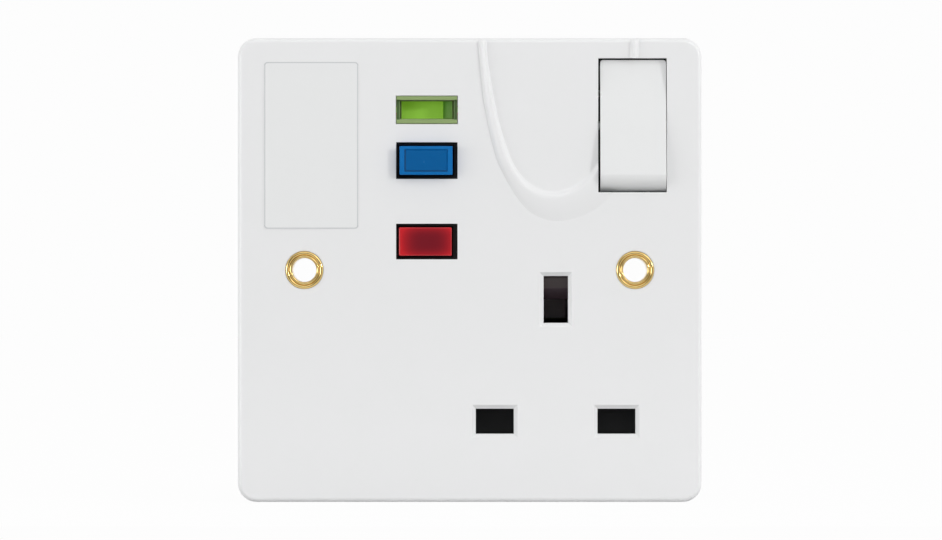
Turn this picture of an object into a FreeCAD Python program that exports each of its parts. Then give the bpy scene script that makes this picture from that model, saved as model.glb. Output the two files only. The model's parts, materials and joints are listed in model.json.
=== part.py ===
import FreeCAD, Part
import math
import os

import Sketcher

# Switched single socket with a residual current device, for a flush box
# Lengths are millimetres: X is to the right, Z is up, the front faces -Y
# The origin is the middle of the plate's rear rim, on the wall

DIMENSIONS = {
    # Front plate
    "plate_width": 84.6,
    "plate_height": 84.6,
    "plate_depth": 9.5,
    "plate_wall": 2.2,
    "face_wall": 2.5,
    "plate_corner": 3.4,
    "plate_edge": 1.0,
    "cavity_corner": 1.6,
    # Curved ridge on the face
    "ridge_middle": 16.5,
    "ridge_height": 0.9,
    "ridge_root": 0.3,
    "ridge_top_outer": 15.4,
    "ridge_top_crest": 13.6,
    "ridge_top_inner": 12.6,
    "ridge_waist_level": 23.7,
    "ridge_waist_outer": 13.1,
    "ridge_waist_crest": 11.2,
    "ridge_waist_inner": 10.2,
    "ridge_shoulder_level": 16.0,
    "ridge_shoulder_outer": 9.8,
    "ridge_shoulder_crest": 7.2,
    "ridge_shoulder_inner": 5.9,
    "ridge_bottom_outer": 9.1,
    "ridge_bottom_crest": 13.6,
    "ridge_bottom_inner": 14.6,
    # Fixing eyelets
    "fixing_pitch": 60.3,
    "eyelet_hole": 4.3,
    "eyelet_wall": 0.35,
    "eyelet_flange": 6.9,
    "eyelet_sink": 0.25,
    "eyelet_boss": 9.0,
    "strap_metal": 0.8,
    # Pin apertures
    "pin_middle": 15.67,
    "pin_line_level": -27.57,
    "pin_pitch": 22.2,
    "earth_rise": 22.2,
    "line_slot_width": 6.85,
    "line_slot_height": 4.5,
    "earth_slot_width": 4.36,
    "earth_slot_height": 8.5,
    "slot_bevel": 0.7,
    # Blank label
    "label_left": -37.55,
    "label_right": -20.55,
    "label_low": 7.55,
    "label_high": 37.9,
    "label_corner": 0.8,
    "label_thick": 0.12,
    # Rocker switch
    "rocker_middle": 29.68,
    "rocker_level": 26.4,
    "rocker_slot_width": 12.5,
    "rocker_top_gap": 1.475,
    "rocker_side_gap": 0.3,
    "rocker_end_gap": 0.17,
    "rocker_pivot_depth": 3.2,
    "rocker_proud": 0.54,
    "rocker_rest_tilt": 8.5,
    "rocker_nose": 1.5,
    "rocker_skin": 1.3,
    "rocker_skirt": 1.0,
    "rocker_pin": 1.6,
    "pivot_clearance": 0.05,
    "cheek_width": 1.7,
    "cheek_height": 5.2,
    "cheek_depth": 2.8,
    # Switch contacts behind the rocker
    "pole_middle": 27.9,
    "pole_pitch": 4.2,
    "hub_reach": 4.5,
    "hub_height": 4.4,
    "plunger_reach": 8.6,
    "plunger_size": 2.4,
    "plunger_inset": 2.9,
    "seesaw_gap": 0.12,
    "seesaw_metal": 0.9,
    "seesaw_width": 3.4,
    "seesaw_arm": 5.1,
    "seesaw_tilt": 10.0,
    "contact_button": 0.6,
    "contact_button_size": 2.2,
    "contact_button_inset": 1.4,
    "contact_running_gap": 0.15,
    "switch_bar_width": 2.8,
    "switch_bar_height": 2.6,
    "switch_base_left": 22.0,
    "switch_base_low": 14.0,
    "switch_rib": 0.6,
    "switch_rib_inset": 4.0,
    "switch_foot_height": 1.6,
    "neutral_run_rear": 11.6,
    "neutral_run_low": 24.6,
    "neutral_run_high": 26.0,
    "neutral_foot_low": 27.5,
    "neutral_foot_high": 29.5,
    "switch_floor": 8.0,
    "switch_floor_thick": 2.0,
    # Window and buttons
    "control_middle": -7.83,
    "window_level": 29.2,
    "window_width": 11.3,
    "window_height": 5.2,
    "lens_gap": 0.05,
    "lens_depth": 3.4,
    "lens_flange": 0.7,
    "lens_recess": 2.2,
    "lens_rim": 0.85,
    "button_slot_width": 11.2,
    "button_width": 9.65,
    "button_height": 5.22,
    "button_corner": 0.3,
    "button_gap": 0.25,
    "reset_level": 19.95,
    "reset_slot_height": 6.7,
    "reset_shift": -0.12,
    "reset_proud": 1.8,
    "reset_travel": 2.4,
    "reset_panel_inset": 0.8,
    "reset_panel_depth": 0.25,
    "test_level": 5.19,
    "test_slot_height": 6.5,
    "test_shift": -0.27,
    "test_sunk": 0.2,
    "test_travel": 1.6,
    "button_skirt": 4.6,
    "reset_skirt": 3.4,
    "button_top": 1.7,
    "test_stem_end": 9.0,
    "test_stem": 1.8,
    "test_spring_bore": 4.4,
    "stem_size": 3.0,
    "spring_wire": 0.4,
    "spring_fit": 0.3,
    # Indicator flag
    "flag_radius": 2.2,
    "flag_half_height": 2.0,
    "flag_pivot_depth": 6.9,
    "flag_pin_reach": 1.6,
    "flag_pin": 1.4,
    "flag_side_gap": 0.4,
    "flag_rear": 1.4,
    "flag_rear_half": 1.2,
    "flag_nose": 0.5,
    "flag_nose_depth": 0.2,
    # Inside mouldings
    "carrier_front": 5.9,
    "carrier_thick": 1.6,
    "carrier_inset": 0.4,
    "wing_step": 0.3,
    "wing_wall_gap": 0.8,
    "wing_root": 1.0,
    "wing_low": 10.0,
    "wing_left": 19.2,
    "guide_side": 2.0,
    "guide_front_gap": 0.1,
    "guide_high": 33.2,
    "guide_floor": 0.7,
    "housing_half": 34.0,
    "housing_depth": 24.0,
    "housing_wall": 1.8,
    "notch_half": 7.5,
    "notch_reach": 25.5,
    "column_inset": 4.1,
    "column_inner_x": 15.6,
    "column_size": 6.6,
    "boss_size": 6.0,
    "boss_end": 5.0,
    "screw_size": 2.9,
    "screw_head": 5.4,
    "screw_head_depth": 2.0,
    "screw_seat": 16.0,
    "screw_tip": -3.0,
    "screw_clearance": 0.15,
    # Shutter
    "shutter_gap": 0.3,
    "shutter_thick": 2.5,
    "shutter_bar_low": -30.2,
    "shutter_bar_high": -24.5,
    "shutter_stem": 7.0,
    "shutter_window_gap": 0.6,
    "shutter_ramp_low": -5.4,
    "shutter_ramp_high": -1.3,
    "shutter_crease_level": -3.3,
    "shutter_crease_depth": 0.8,
    "shutter_top": 1.6,
    "shutter_travel": 5.2,
    "shutter_spring_size": 2.2,
    "shutter_spring_end": 13.0,
    # Pin contacts
    "pin_thick": 4.2,
    "contact_metal": 0.8,
    "contact_front": 0.6,
    "contact_width": 6.0,
    "line_contact_rear": 9.8,
    "earth_contact_rear": 14.0,
    "earth_contact_height": 7.0,
    # Circuit board and its parts
    "board_front": 15.0,
    "board_thick": 1.6,
    "board_left_gap": 0.2,
    "board_right": -0.6,
    "board_low_gap": 0.4,
    "board_top_gap": 0.4,
    "toroid_x": -15.6,
    "toroid_level": -17.2,
    "toroid_outer": 20.0,
    "toroid_inner": 11.6,
    "toroid_front": 5.6,
    "toroid_rear": 13.8,
    "winding_thick": 0.8,
    "lead_size": 2.6,
    "lead_pitch": 3.6,
    "lead_front": 2.0,
    "lead_bend": 2.6,
    "lead_start_level": -2.9,
    "part_size": 4.0,
    "chip_x": -7.0,
    "chip_level": -4.2,
    "chip_width": 5.0,
    "chip_depth": 1.7,
    "rectifier_x": -29.0,
    "rectifier_level": -13.6,
    "rectifier_depth": 2.6,
    "varistor_x": -2.9,
    "varistor_level": -11.5,
    "varistor_depth": 7.0,
    "capacitor_x": -3.6,
    "capacitor_level": -26.2,
    "capacitor_depth": 8.5,
    "capacitor_size": 5.4,
    "resistor_left": -25.6,
    "resistor_pitch": 6.2,
    "resistor_length": 5.0,
    "resistor_depth": 1.2,
    "resistor_level": -30.1,
    "resistor_size": 2.2,
    # Trip coil
    "coil_x": -22.5,
    "coil_depth": 8.0,
    "coil_low": 9.8,
    "coil_high": 23.2,
    "yoke_metal": 1.4,
    "yoke_width": 12.0,
    "bobbin_bore": 4.2,
    "bobbin_wall": 0.6,
    "bobbin_flange": 0.8,
    "bobbin_gap": 0.1,
    "winding_margin": 0.4,
    "trip_plunger_size": 3.6,
    "trip_end_gap": 0.8,
    "trip_head_size": 7.0,
    "trip_head_level": 28.2,
    "trip_head_thick": 1.2,
    "trip_travel": 1.5,
    "latch_pivot_x": -15.9,
    "latch_pivot_level": 26.9,
    "latch_thick": 2.0,
    "latch_pin": 1.4,
    # Contact carrier
    "slide_front": 4.0,
    "slide_depth": 4.0,
    "slide_low": 14.4,
    "slide_high": 25.5,
    "slide_half_width": 5.3,
    "strip_metal": 0.8,
    "strip_width": 2.8,
    "strip_half_length": 7.1,
    "rivet_size": 2.0,
    "rivet_height": 0.7,
    "break_gap": 0.2,
    "reset_spring_size": 4.0,
    # Terminals
    "terminal_width": 7.6,
    "terminal_height": 5.8,
    "terminal_top_gap": 0.2,
    "terminal_front": 12.5,
    "terminal_rear_gap": 0.7,
    "wire_bore": 4.6,
    "clamp_screw": 2.9,
    "clamp_head": 5.2,
    "clamp_head_depth": 1.8,
    "wire_entry": 5.4,
    "earth_outer_x": -22.0,
    "earth_inner_x": -8.0,
    "neutral_wire_x": 8.0,
    "live_wire_x": 26.0,
    # Earth strap
    "strap_low": -3.0,
    "strap_high": 1.6,
    "strap_collar": 1.6,
    "strap_arm_left": 0.4,
    "strap_arm_right": 3.2,
    "strap_bar_low": 27.6,
    "strap_bar_high": 30.4,
    # Small shared values
    "joining_overlap": 0.2,
    "moulding_gap": 0.1,
    "screw_slot": 0.9,
}

doc = FreeCAD.newDocument("rcd_socket")
sheet = doc.addObject("Spreadsheet::Sheet", "Dims")
nodes = []


class Size:
    """A length with its value now and the formula that the sheet keeps for it."""

    def __init__(self, value, text):
        self.value = value
        self.text = text

    def __add__(self, other):
        other = as_size(other)
        return Size(self.value + other.value, f"({self.text} + {other.text})")

    def __sub__(self, other):
        other = as_size(other)
        return Size(self.value - other.value, f"({self.text} - {other.text})")

    def __mul__(self, other):
        other = as_size(other)
        return Size(self.value * other.value, f"({self.text} * {other.text})")

    def __truediv__(self, other):
        other = as_size(other)
        return Size(self.value / other.value, f"({self.text} / {other.text})")

    def __neg__(self):
        return Size(-self.value, f"(0 - {self.text})")

    __radd__ = __add__
    __rmul__ = __mul__

    def __rsub__(self, other):
        return as_size(other) - self


def as_size(number):
    """A plain number as a length."""
    if isinstance(number, Size):
        return number
    return Size(float(number), f"{float(number):.4f}")


class Sizes:
    """The sheet's values by their names."""

    def __getattr__(self, name):
        return Size(DIMENSIONS[name], f"Dims.{name}")


def fill_sheet():
    """Writes each driving size in its own named cell."""
    for row, (name, value) in enumerate(DIMENSIONS.items(), start=1):
        sheet.set(f"A{row}", name)
        sheet.set(f"B{row}", str(value))
        sheet.setAlias(f"B{row}", name)
    doc.recompute()


def bind(item, prop, length):
    """Ties a property of an object to a length."""
    item.setExpression(prop, as_size(length).text)


def place(item, x, y, z):
    """Ties an object's place to three lengths."""
    bind(item, "Placement.Base.x", x)
    bind(item, "Placement.Base.y", y)
    bind(item, "Placement.Base.z", z)


def keep(item, name):
    """Names a finished sub-part and lists it for the hand-over."""
    item.Label = name
    nodes.append(item)
    return item


def span(middle, width):
    """The low and high ends of a width about its middle."""
    middle = as_size(middle)
    return (middle - as_size(width) / 2, middle + as_size(width) / 2)


# Sketches and features of a body

def new_body(name):
    return doc.addObject("PartDesign::Body", name)


def new_sketch(body, name, axis, level):
    """A sketch square to an axis, at a level along it."""
    role = {"X": "YZ_Plane", "Y": "XZ_Plane", "Z": "XY_Plane"}[axis]
    plane = [item for item in body.Origin.OriginFeatures if item.Role == role][0]
    sketch = body.newObject("Sketcher::SketchObject", name)
    sketch.AttachmentSupport = [(plane, "")]
    sketch.MapMode = "FlatFace"
    level = as_size(level)
    bind(sketch, "AttachmentOffset.Base.z", -level if axis == "Y" else level)
    return sketch


def fix_point(sketch, line, end, across, up):
    """Ties one point of a sketch to two lengths from the origin."""
    for kind, length in (("DistanceX", across), ("DistanceY", up)):
        length = as_size(length)
        index = sketch.addConstraint(Sketcher.Constraint(kind, -1, 1, line, end, length.value))
        sketch.setExpression(f"Constraints[{index}]", length.text)


def polygon(sketch, points):
    """A closed outline of straight lines through the points."""
    first = sketch.GeometryCount
    count = len(points)
    spots = [FreeCAD.Vector(as_size(a).value, as_size(b).value, 0) for a, b in points]
    for index in range(count):
        sketch.addGeometry(Part.LineSegment(spots[index], spots[(index + 1) % count]), False)
    for index in range(count):
        following = first + (index + 1) % count
        sketch.addConstraint(Sketcher.Constraint("Coincident", first + index, 2, following, 1))
        fix_point(sketch, first + index, 1, *points[index])


def rectangle(sketch, across, up):
    """A rectangle between two pairs of limits."""
    polygon(sketch, [(across[0], up[0]), (across[1], up[0]), (across[1], up[1]), (across[0], up[1])])


def circle(sketch, across, up, diameter):
    """A circle about a point."""
    across = as_size(across)
    up = as_size(up)
    radius = as_size(diameter) / 2
    middle = FreeCAD.Vector(across.value, up.value, 0)
    index = sketch.addGeometry(Part.Circle(middle, FreeCAD.Vector(0, 0, 1), radius.value), False)
    fix_point(sketch, index, 3, across, up)
    ring = sketch.addConstraint(Sketcher.Constraint("Radius", index, radius.value))
    sketch.setExpression(f"Constraints[{ring}]", radius.text)


def pad(body, name, axis, low, high, draw):
    """Adds what is drawn, from one level to another along an axis."""
    sketch = new_sketch(body, f"{name}_sketch", axis, high if axis == "Y" else low)
    draw(sketch)
    feature = body.newObject("PartDesign::Pad", name)
    feature.Profile = sketch
    bind(feature, "Length", as_size(high) - as_size(low))
    doc.recompute()
    return feature


def pocket(body, name, axis, low, high, draw):
    """Cuts what is drawn, from one level to another along an axis."""
    before = body.Shape.Volume
    sketch = new_sketch(body, f"{name}_sketch", axis, low if axis == "Y" else high)
    draw(sketch)
    feature = body.newObject("PartDesign::Pocket", name)
    feature.Profile = sketch
    bind(feature, "Length", as_size(high) - as_size(low))
    doc.recompute()
    if body.Shape.Volume >= before:
        raise RuntimeError(f"{name} cuts nothing")
    return feature


def round_edges(body, name, radius, wanted):
    """Rounds the edges of a body that pass a test."""
    return dress_edges(body, "PartDesign::Fillet", name, "Radius", radius, wanted)


def bevel_edges(body, name, size, wanted):
    """Bevels the edges of a body that pass a test."""
    return dress_edges(body, "PartDesign::Chamfer", name, "Size", size, wanted)


def dress_edges(body, kind, name, prop, size, wanted):
    base = body.Tip
    edges = [f"Edge{i}" for i, edge in enumerate(base.Shape.Edges, start=1) if wanted(edge)]
    if not edges:
        raise RuntimeError(f"{name} finds no edge")
    feature = body.newObject(kind, name)
    feature.Base = (base, edges)
    bind(feature, prop, size)
    doc.recompute()
    return feature


def runs_along(edge, axis):
    """Tells whether an edge is a straight line along an axis."""
    box = edge.BoundBox
    lengths = {"X": box.XLength, "Y": box.YLength, "Z": box.ZLength}
    others = [length for name, length in lengths.items() if name != axis]
    return lengths[axis] > 0.01 and max(others) < 0.001


def at_level(edge, y):
    """Tells whether an edge lies flat at a depth."""
    box = edge.BoundBox
    return abs(box.YMin - y) < 0.01 and abs(box.YMax - y) < 0.01


def turned(name, points):
    """A body turned about its own Y axis from (radius, depth) points."""
    body = new_body(name)
    sketch = new_sketch(body, f"{name}_profile", "Z", 0)
    polygon(sketch, points)
    feature = body.newObject("PartDesign::Revolution", f"{name}_turning")
    feature.Profile = sketch
    feature.ReferenceAxis = (sketch, ["V_Axis"])
    feature.Angle = 360
    doc.recompute()
    return body


# Plain solids and how they join

def box(name, x, y, z):
    """A block between three pairs of limits."""
    item = doc.addObject("Part::Box", name)
    for prop, limits in (("Length", x), ("Width", y), ("Height", z)):
        bind(item, prop, as_size(limits[1]) - as_size(limits[0]))
    place(item, x[0], y[0], z[0])
    return item


AXIS_TURNS = {
    "X": FreeCAD.Rotation(FreeCAD.Vector(0, 1, 0), 90),
    "Y": FreeCAD.Rotation(FreeCAD.Vector(1, 0, 0), -90),
    "Z": FreeCAD.Rotation(),
}


def rod(name, axis, start, end, first, second, diameter):
    """A round bar along an axis; first and second place it in the other two, in X, Y, Z order."""
    item = doc.addObject("Part::Cylinder", name)
    bind(item, "Radius", as_size(diameter) / 2)
    bind(item, "Height", as_size(end) - as_size(start))
    item.Placement = FreeCAD.Placement(FreeCAD.Vector(), AXIS_TURNS[axis])
    places = {"X": (start, first, second), "Y": (first, start, second), "Z": (first, second, start)}
    place(item, *places[axis])
    return item


def join(name, items):
    item = doc.addObject("Part::MultiFuse", name)
    item.Shapes = items
    item.Refine = True
    return item


def group(name, items):
    """Separate solids that share one name."""
    item = doc.addObject("Part::Compound", name)
    item.Links = items
    return item


def cut(name, base, tool):
    item = doc.addObject("Part::Cut", name)
    item.Base = base
    item.Tool = tool
    return item


def coil_spring(name, diameter, wire, low, high, turns):
    """A compression spring about its own Z axis, by its mean diameter."""
    line = doc.addObject("Part::Helix", f"{name}_line")
    bind(line, "Radius", as_size(diameter) / 2)
    bind(line, "Height", as_size(high) - as_size(low) - as_size(wire))
    bind(line, "Pitch", (as_size(high) - as_size(low) - as_size(wire)) / turns)
    ring = doc.addObject("Part::Circle", f"{name}_wire")
    bind(ring, "Radius", as_size(wire) / 2)
    quarter_turn = FreeCAD.Rotation(FreeCAD.Vector(1, 0, 0), 90)
    ring.Placement = FreeCAD.Placement(FreeCAD.Vector(), quarter_turn)
    bind(ring, "Placement.Base.x", as_size(diameter) / 2)
    sweep = doc.addObject("Part::Sweep", name)
    sweep.Sections = [ring]
    sweep.Spine = (line, ["Edge1"])
    sweep.Solid = True
    sweep.Frenet = True
    return sweep


fill_sheet()
D = Sizes()

FACE = -D.plate_depth
FACE_INNER = FACE + D.face_wall
PLATE_X = span(0, D.plate_width)
PLATE_Z = span(0, D.plate_height)
CARRIER_Y = (-D.plate_depth + D.carrier_front, -D.plate_depth + D.carrier_front + D.carrier_thick)
HOUSING_FRONT = CARRIER_Y[1]
NEUTRAL_X = D.pin_middle - D.pin_pitch / 2
LIVE_X = D.pin_middle + D.pin_pitch / 2
EARTH_Z = D.pin_line_level + D.earth_rise
ROCKER_Y = FACE + D.rocker_pivot_depth
ROCKER_SLOT_HEIGHT = D.plate_height - (D.plate_wall + D.rocker_top_gap + D.rocker_level) * 2
EYELET_X = D.fixing_pitch / 2
TERMINALS = {
    "earth_terminal_outer": D.earth_outer_x,
    "earth_terminal_inner": D.earth_inner_x,
    "neutral_terminal": D.neutral_wire_x,
    "live_terminal": D.live_wire_x,
}
TERMINAL_HIGH = D.housing_half - D.housing_wall - D.terminal_top_gap
TERMINAL_LOW = TERMINAL_HIGH - D.terminal_height
TERMINAL_REAR = D.housing_depth - D.housing_wall - D.terminal_rear_gap
WIRE_DEPTH = (D.terminal_front + TERMINAL_REAR) / 2
BOARD_LEFT = D.housing_wall + D.board_left_gap - D.housing_half
BOARD_LOW = D.housing_wall + D.board_low_gap - D.housing_half
BOARD_HIGH = TERMINAL_LOW - D.board_top_gap
BOSS_REAR = -D.strap_metal - D.eyelet_wall
LINE_SLOTS = [(NEUTRAL_X, D.pin_line_level), (LIVE_X, D.pin_line_level)]
COLUMN_EDGE = D.housing_half - D.column_inset
COLUMNS = [
    (-COLUMN_EDGE, COLUMN_EDGE),
    (D.column_inner_x, COLUMN_EDGE),
    (-COLUMN_EDGE, -COLUMN_EDGE),
    (D.column_inner_x, -COLUMN_EDGE),
]


# Front plate

def ridge_curve(level_y, top, waist, shoulder, bottom):
    """One long line of the ridge: half widths at three levels, and the lowest level."""
    middle = D.ridge_middle.value
    heights = [D.plate_height.value / 2 - D.plate_edge.value, D.ridge_waist_level.value]
    heights.append(D.ridge_shoulder_level.value)
    halves = [top.value, waist.value, shoulder.value]
    left = [FreeCAD.Vector(middle - half, level_y, z) for half, z in zip(halves, heights)]
    right = [FreeCAD.Vector(middle + half, level_y, z) for half, z in zip(halves, heights)]
    points = left + [FreeCAD.Vector(middle, level_y, bottom.value)] + right[::-1]
    curve = Part.BSplineCurve()
    curve.interpolate(points)
    return curve.toShape()


def make_ridge():
    """The low curved ridge: an outer flank, a crest and an inner flank."""
    root_y = FACE.value + D.ridge_root.value
    crest_y = FACE.value - D.ridge_height.value
    outer = ridge_curve(
        root_y, D.ridge_top_outer, D.ridge_waist_outer, D.ridge_shoulder_outer, D.ridge_bottom_outer)
    crest = ridge_curve(
        crest_y, D.ridge_top_crest, D.ridge_waist_crest, D.ridge_shoulder_crest, D.ridge_bottom_crest)
    inner = ridge_curve(
        root_y, D.ridge_top_inner, D.ridge_waist_inner, D.ridge_shoulder_inner, D.ridge_bottom_inner)
    faces = [
        Part.makeRuledSurface(outer, crest),
        Part.makeRuledSurface(crest, inner),
        Part.makeRuledSurface(inner, outer),
    ]
    for end in (0, 1):
        corners = [curve.Vertexes[end].Point for curve in (outer, crest, inner)]
        faces.append(Part.Face(Part.makePolygon(corners + corners[:1])))
    shell = Part.makeShell(faces)
    shell.sewShape()
    solid = Part.makeSolid(shell)
    if solid.Volume < 0:
        solid.reverse()
    ridge = doc.addObject("Part::Feature", "face_ridge")
    ridge.Shape = solid
    return ridge


def make_front_plate():
    body = new_body("plate_shell")
    pad(body, "plate_block", "Y", FACE, 0, lambda s: rectangle(s, PLATE_X, PLATE_Z))
    round_edges(body, "plate_corners", D.plate_corner, lambda e: runs_along(e, "Y"))
    round_edges(body, "plate_rim", D.plate_edge, lambda e: at_level(e, FACE.value))
    inner_x = (PLATE_X[0] + D.plate_wall, PLATE_X[1] - D.plate_wall)
    inner_z = (PLATE_Z[0] + D.plate_wall, PLATE_Z[1] - D.plate_wall)
    pocket(body, "plate_cavity", "Y", FACE_INNER, 0, lambda s: rectangle(s, inner_x, inner_z))
    wall = D.plate_width.value / 2 - D.plate_wall.value
    round_edges(
        body, "cavity_corners", D.cavity_corner,
        lambda e: runs_along(e, "Y") and abs(abs(e.CenterOfMass.x) - wall) < 0.01)

    def eyelet_bosses(sketch):
        for side in (-1, 1):
            circle(sketch, EYELET_X * side, 0, D.eyelet_boss)

    def screw_bosses(sketch):
        for x, z in COLUMNS:
            circle(sketch, x, z, D.boss_size)

    def screw_cores(sketch):
        for x, z in COLUMNS:
            circle(sketch, x, z, D.screw_size + D.screw_clearance)

    def eyelet_holes(sketch):
        for side in (-1, 1):
            circle(sketch, EYELET_X * side, 0, D.eyelet_hole + D.eyelet_wall * 2)

    def eyelet_seats(sketch):
        for side in (-1, 1):
            circle(sketch, EYELET_X * side, 0, D.eyelet_flange)

    def pin_slots(sketch):
        for x, z in LINE_SLOTS:
            rectangle(sketch, span(x, D.line_slot_width), span(z, D.line_slot_height))
        rectangle(sketch, span(D.pin_middle, D.earth_slot_width), span(EARTH_Z, D.earth_slot_height))

    def control_slots(sketch):
        middle = D.control_middle
        rectangle(sketch, span(middle, D.window_width), span(D.window_level, D.window_height))
        for level, height in ((D.reset_level, D.reset_slot_height), (D.test_level, D.test_slot_height)):
            rectangle(sketch, span(middle, D.button_slot_width), span(level, height))

    pad(body, "eyelet_bosses", "Y", FACE_INNER, BOSS_REAR, eyelet_bosses)
    pad(body, "screw_bosses", "Y", FACE_INNER, D.boss_end, screw_bosses)
    pocket(body, "screw_cores", "Y", D.screw_tip - 0.5, D.boss_end, screw_cores)
    pocket(body, "eyelet_holes", "Y", FACE, BOSS_REAR, eyelet_holes)
    pocket(body, "eyelet_seats", "Y", FACE, FACE + D.eyelet_sink, eyelet_seats)
    pocket(body, "pin_slots", "Y", FACE, FACE_INNER, pin_slots)
    low_z = D.pin_line_level.value - D.line_slot_height.value
    high_z = EARTH_Z.value + D.earth_slot_height.value
    bevel_edges(
        body, "slot_bevels", D.slot_bevel,
        lambda e: at_level(e, FACE.value) and low_z < e.CenterOfMass.z < high_z
        and 0 < e.CenterOfMass.x < EYELET_X.value and e.Length < 9)
    pocket(body, "control_slots", "Y", FACE, FACE_INNER, control_slots)

    slot_x = span(D.rocker_middle, D.rocker_slot_width)
    slot_z = span(D.rocker_level, ROCKER_SLOT_HEIGHT)
    cheek_y = (FACE_INNER - 0.2, FACE_INNER + D.cheek_depth)
    cheek_z = span(D.rocker_level, D.cheek_height)
    cheeks = [
        box("left_cheek", (slot_x[0] - D.cheek_width, slot_x[0]), cheek_y, cheek_z),
        box("right_cheek", (slot_x[1], slot_x[1] + D.cheek_width), cheek_y, cheek_z),
    ]
    solid = join("plate_with_ridge", [body, make_ridge()] + cheeks)
    opening = box("rocker_slot", slot_x, (FACE - D.ridge_height - 1, FACE_INNER + 0.2), slot_z)
    bore = rod(
        "rocker_pin_bore", "X", slot_x[0] - D.cheek_width - 1, slot_x[1] + D.cheek_width + 1,
        ROCKER_Y, D.rocker_level, D.rocker_pin + D.pivot_clearance * 2)
    plate = cut("front_plate", solid, join("rocker_openings", [opening, bore]))
    keep(plate, "front_plate")


def make_eyelets():
    """Rolled brass tubes that line the two fixing holes."""
    bore = D.eyelet_hole / 2
    tube = bore + D.eyelet_wall
    flange = D.eyelet_flange / 2
    rear = BOSS_REAR + D.strap_metal
    points = [
        (bore, FACE), (flange - 0.05, FACE), (flange - 0.05, FACE + D.eyelet_sink),
        (tube - 0.02, FACE + D.eyelet_sink), (tube - 0.02, rear),
        (flange - 0.3, rear), (flange - 0.3, rear + D.eyelet_wall), (bore, rear + D.eyelet_wall),
    ]
    for name, side in (("eyelet_left", -1), ("eyelet_right", 1)):
        body = turned(name, points)
        place(body, EYELET_X * side, 0, 0)
        keep(body, name)


def make_label():
    """A thin blank label that lies on the face, left of the buttons."""
    body = new_body("indicator_label")
    x = (D.label_left, D.label_right)
    z = (D.label_low, D.label_high)
    pad(body, "label_sheet", "Y", FACE - D.label_thick, FACE, lambda s: rectangle(s, x, z))
    round_edges(body, "label_corners", D.label_corner, lambda e: runs_along(e, "Y"))
    keep(body, "indicator_label")


# Controls

def make_lens():
    """A clear window with a flange behind the plate and a hollow over the flag."""
    body = new_body("indicator_lens")
    middle = D.control_middle
    width = D.window_width - D.lens_gap * 2
    height = D.window_height - D.lens_gap * 2
    rear = FACE + D.lens_depth
    pad(body, "lens_block", "Y", FACE + 0.05, rear,
        lambda s: rectangle(s, span(middle, width), span(D.window_level, height)))
    pad(body, "lens_flange", "Y", FACE_INNER + 0.02, rear,
        lambda s: rectangle(
            s, span(middle, D.window_width + D.lens_flange * 2),
            span(D.window_level, D.window_height + D.lens_flange)))
    pocket(body, "lens_hollow", "Y", rear - D.lens_recess, rear,
           lambda s: rectangle(
               s, span(middle, width - D.lens_rim * 2), span(D.window_level, height - D.lens_rim * 2)))
    keep(body, "indicator_lens")


def make_flag():
    """A short roller that shows its front face, or the one above it when it turns."""
    pivot_y = FACE + D.flag_pivot_depth
    half = (D.window_width - D.flag_side_gap * 2) / 2
    front = -D.flag_radius
    body = new_body("indicator_flag")
    profile = [
        (front, D.flag_half_height), (front, -D.flag_half_height),
        (-D.flag_nose_depth, -D.flag_radius - D.flag_nose), (D.flag_rear, -D.flag_rear_half),
        (D.flag_rear, D.flag_rear_half),
    ]
    pad(body, "flag_roller", "X", -half, half, lambda s: polygon(s, profile))
    pad(body, "flag_pins", "X", -half - D.flag_pin_reach, half + D.flag_pin_reach,
        lambda s: circle(s, 0, 0, D.flag_pin))
    place(body, D.control_middle, pivot_y, D.window_level)
    keep(body, "indicator_flag")


def make_buttons():
    middle = {"reset": D.control_middle + D.reset_shift, "test": D.control_middle + D.test_shift}
    level = {"reset": D.reset_level, "test": D.test_level}
    front = {"reset": FACE - D.reset_proud, "test": FACE + D.test_sunk}
    skirt_end = {"reset": FACE + D.reset_skirt, "test": FACE + D.button_skirt}
    stem_end = {"reset": D.slide_front - D.spring_fit, "test": D.test_stem_end}
    stem = {"reset": D.stem_size, "test": D.test_stem}
    for kind in ("reset", "test"):
        name = f"{kind}_button"
        body = new_body(name)
        x = span(middle[kind], D.button_width)
        z = span(level[kind], D.button_height)
        pad(body, f"{kind}_cap", "Y", front[kind], skirt_end[kind], lambda s: rectangle(s, x, z))
        round_edges(body, f"{kind}_corners", D.button_corner, lambda e: runs_along(e, "Y"))
        round_edges(body, f"{kind}_top_edge", D.button_corner,
                    lambda e: at_level(e, front[kind].value))
        if kind == "reset":
            inset = D.reset_panel_inset
            pocket(body, "reset_panel", "Y", front[kind], front[kind] + D.reset_panel_depth,
                   lambda s: rectangle(
                       s, (x[0] + inset, x[1] - inset), (z[0] + inset / 2, z[1] - inset / 2)))
        if kind == "test":
            pocket(body, "test_spring_bore", "Y", front[kind] + D.button_top, skirt_end[kind],
                   lambda s: circle(s, middle[kind], level[kind], D.test_spring_bore))
        pad(body, f"{kind}_stem", "Y", front[kind] + 1, stem_end[kind],
            lambda s: circle(s, middle[kind], level[kind], stem[kind]))
        keep(body, name)


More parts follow.
